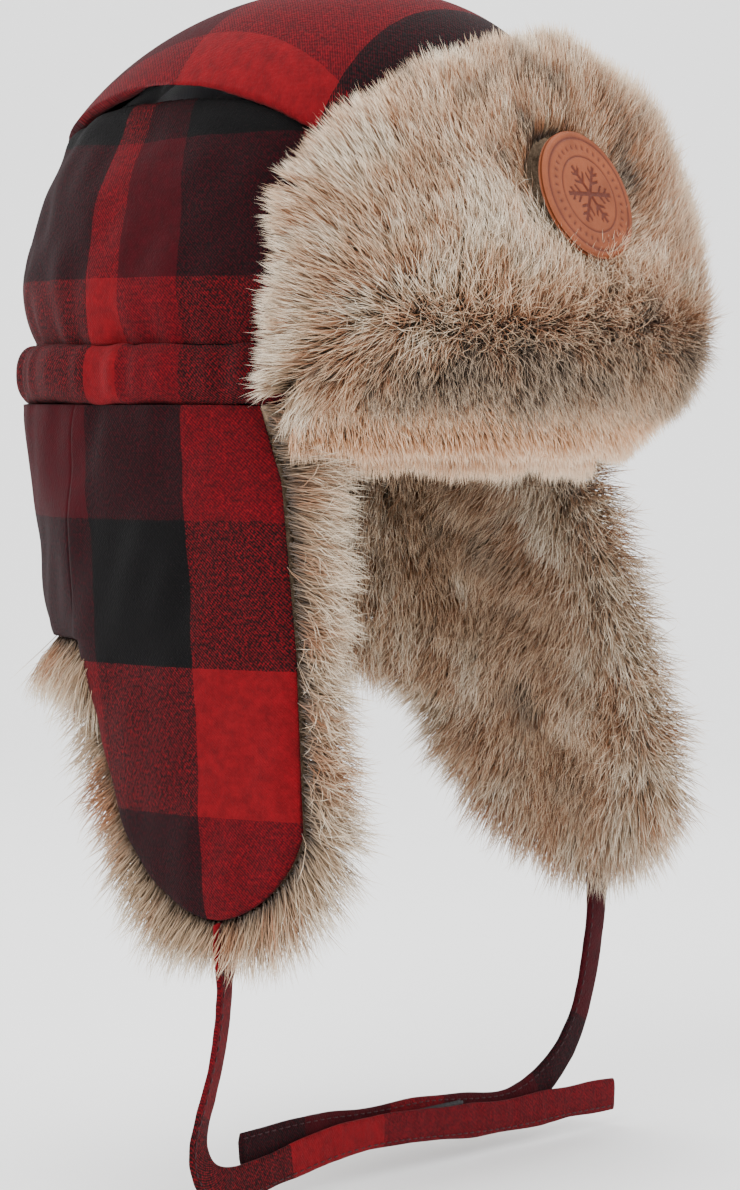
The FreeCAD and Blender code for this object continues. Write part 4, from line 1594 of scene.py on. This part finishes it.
def studio():
    """A pale floor that sweeps up behind, soft lights, and the camera."""
    floor_level = -0.272
    profile = [(-3.0, floor_level), (1.6, floor_level)]
    for step in range(1, 13):
        angle = math.pi / 2 * step / 12
        profile.append((1.6 + math.sin(angle), floor_level + 1 - math.cos(angle)))
    profile.append((2.6, 4.0))
    turn = math.radians(-50)
    right = Vector((math.cos(turn), math.sin(turn), 0))
    ahead = Vector((-math.sin(turn), math.cos(turn), 0))
    vertices = []
    for side in (-4.0, 4.0):
        vertices += [right * side + ahead * run + Vector((0, 0, rise)) for run, rise in profile]
    count = len(profile)
    faces = [(i, i + 1, i + 1 + count, i + count) for i in range(count - 1)]
    mesh = bpy.data.meshes.new("studio_floor")
    mesh.from_pydata([tuple(v) for v in vertices], [], faces)
    for polygon in mesh.polygons:
        polygon.use_smooth = True
    floor = bpy.data.objects.new("studio_floor", mesh)
    bpy.context.scene.collection.objects.link(floor)
    paper = Finish("white studio paper", Roughness=0.9, Specular_IOR_Level=0.1)
    grain = paper.noise(paper.add("ShaderNodeTexCoord", {}, {}, 3), 3.0)
    paper.surface(Base_Color=paper.ramp(grain, [(0, (0.93,) * 3 + (1,)), (1, (0.96,) * 3 + (1,))]))
    mesh.materials.append(paper.material)
    world = bpy.data.worlds.new("studio")
    bpy.context.scene.world = world
    world.use_nodes = True
    world.node_tree.nodes["Background"].inputs[0].default_value = (1, 1, 1, 1)
    world.node_tree.nodes["Background"].inputs[1].default_value = 1.35
    aim = Vector((0, 0, -0.03))
    lamp("key", right * -1.1 - ahead * 1.5 + Vector((0, 0, 1.5)), aim, 1.6, 54)
    lamp("fill", right * 1.5 - ahead * 1.2 + Vector((0, 0, 0.7)), aim, 1.8, 30)
    lamp("top", ahead * 0.5 + Vector((0, 0, 2.0)), aim, 2.0, 43)
    view_from(Vector((0.014, -0.017, -0.069)), -50, 3, 1.4, 117.8)


def lamp(name, spot, aim, size, power):
    light = bpy.data.lights.new(name, "AREA")
    light.shape = "SQUARE"
    light.size = size
    light.energy = power
    holder = bpy.data.objects.new(name, light)
    holder.location = spot
    holder.rotation_euler = (aim - spot).to_track_quat("-Z", "Y").to_euler()
    bpy.context.scene.collection.objects.link(holder)


def view_from(aim, azimuth, elevation, distance, lens):
    camera = bpy.data.cameras.new("camera")
    camera.lens = lens
    camera.sensor_width = 36
    holder = bpy.data.objects.new("camera", camera)
    bpy.context.scene.collection.objects.link(holder)
    turn, tilt = math.radians(azimuth), math.radians(elevation)
    back = Vector((math.sin(turn), -math.cos(turn), 0)) * math.cos(tilt)
    holder.location = aim + (back + Vector((0, 0, math.sin(tilt)))) * distance
    holder.rotation_euler = (aim - holder.location).to_track_quat("-Z", "Y").to_euler()
    bpy.context.scene.camera = holder


# ---------------------------------------------------------------- putting it together

CROWN_WARP = [(-420, "K"), (12, "M"), (60, "K"), (136, "R"), (154, "M"), (178, "K"), (230, "R")]
CROWN_WEFT = [(-420, "R"), (41, "M"), (90, "K"), (150, "R")]
TOP_WARP = [(-420, "R"), (-60, "M"), (24, "K"), (66, "M")]
TOP_WEFT = [(-420, "M"), (4, "R"), (64, "D"), (140, "M")]
FLAP_WARP = [(-420, "R"), (-110, "M"), (-13.4, "K"), (32, "R"), (90, "M")]
FLAP_WEFT = [(-420, "K"), (-190, "M"), (-141, "R"), (-90, "K"), (-42, "M")]
TIE_WARPS = {"right": [(-420, "R")], "left": [(-420, "M")]}
TIE_WEFTS = {
    "right": [(-420, "R"), (14, "M"), (64, "K"), (130, "R"), (180, "M")],
    "left": [(-420, "M"), (56, "K"), (92, "M"), (150, "R"), (178, "M"), (226, "K")],
}


def build_hat():
    crown_plaid = plaid("crown plaid wool", CROWN_WARP, CROWN_WEFT)
    top_plaid = plaid("top panel plaid wool", TOP_WARP, TOP_WEFT)
    flap_plaid = plaid("flap plaid wool", FLAP_WARP, FLAP_WEFT)
    maroon_thread = thread("maroon thread", colour(70, 14, 22))
    dark_thread = thread("dark thread", colour(46, 12, 18))
    tape = tape_loops()
    for side in ("right", "left"):
        crown_side(side, crown_plaid)
        skirt_cloth(side, flap_plaid)
        tie_plaid = plaid(f"{side} tie plaid wool", TIE_WARPS[side], TIE_WEFTS[side])
        tie(side, tie_plaid, dark_thread, tape)
        tie_tack(side, maroon_thread)
    crown_topstitch(*crown_top(top_plaid), dark_thread)
    crown_lining(lining_cloth())
    gathered_roll(crown_plaid)
    nape_cloth(flap_plaid)
    felt = backing_felt("fur backing", colour(104, 86, 70), colour(148, 126, 104))
    brim_cloth(flap_plaid, felt)
    leather_badge(badge_leather())
    fur = pile(
        "grey-brown fur pile",
        root=colour(78, 61, 46),
        light=colour(164, 138, 110),
        warm=colour(154, 102, 66),
        dark=colour(82, 65, 51),
        tip_light=colour(242, 226, 202),
        tip_warm=colour(218, 184, 148),
        tip_dark=colour(172, 150, 126),
    )
    peach = pile(
        "peach fur pile",
        root=colour(150, 104, 72),
        light=colour(226, 178, 136),
        warm=colour(212, 160, 118),
        dark=colour(150, 124, 104),
        tip_light=colour(250, 222, 190),
        tip_warm=colour(240, 205, 170),
        tip_dark=colour(220, 200, 180),
    )
    front_fur(fur)
    for side in ("right", "left"):
        flap_fur(side, fur, felt)
    nape_fur(fur, felt)
    fold_fur(peach)
    brow_fur(peach, felt)


build_hat()
studio()
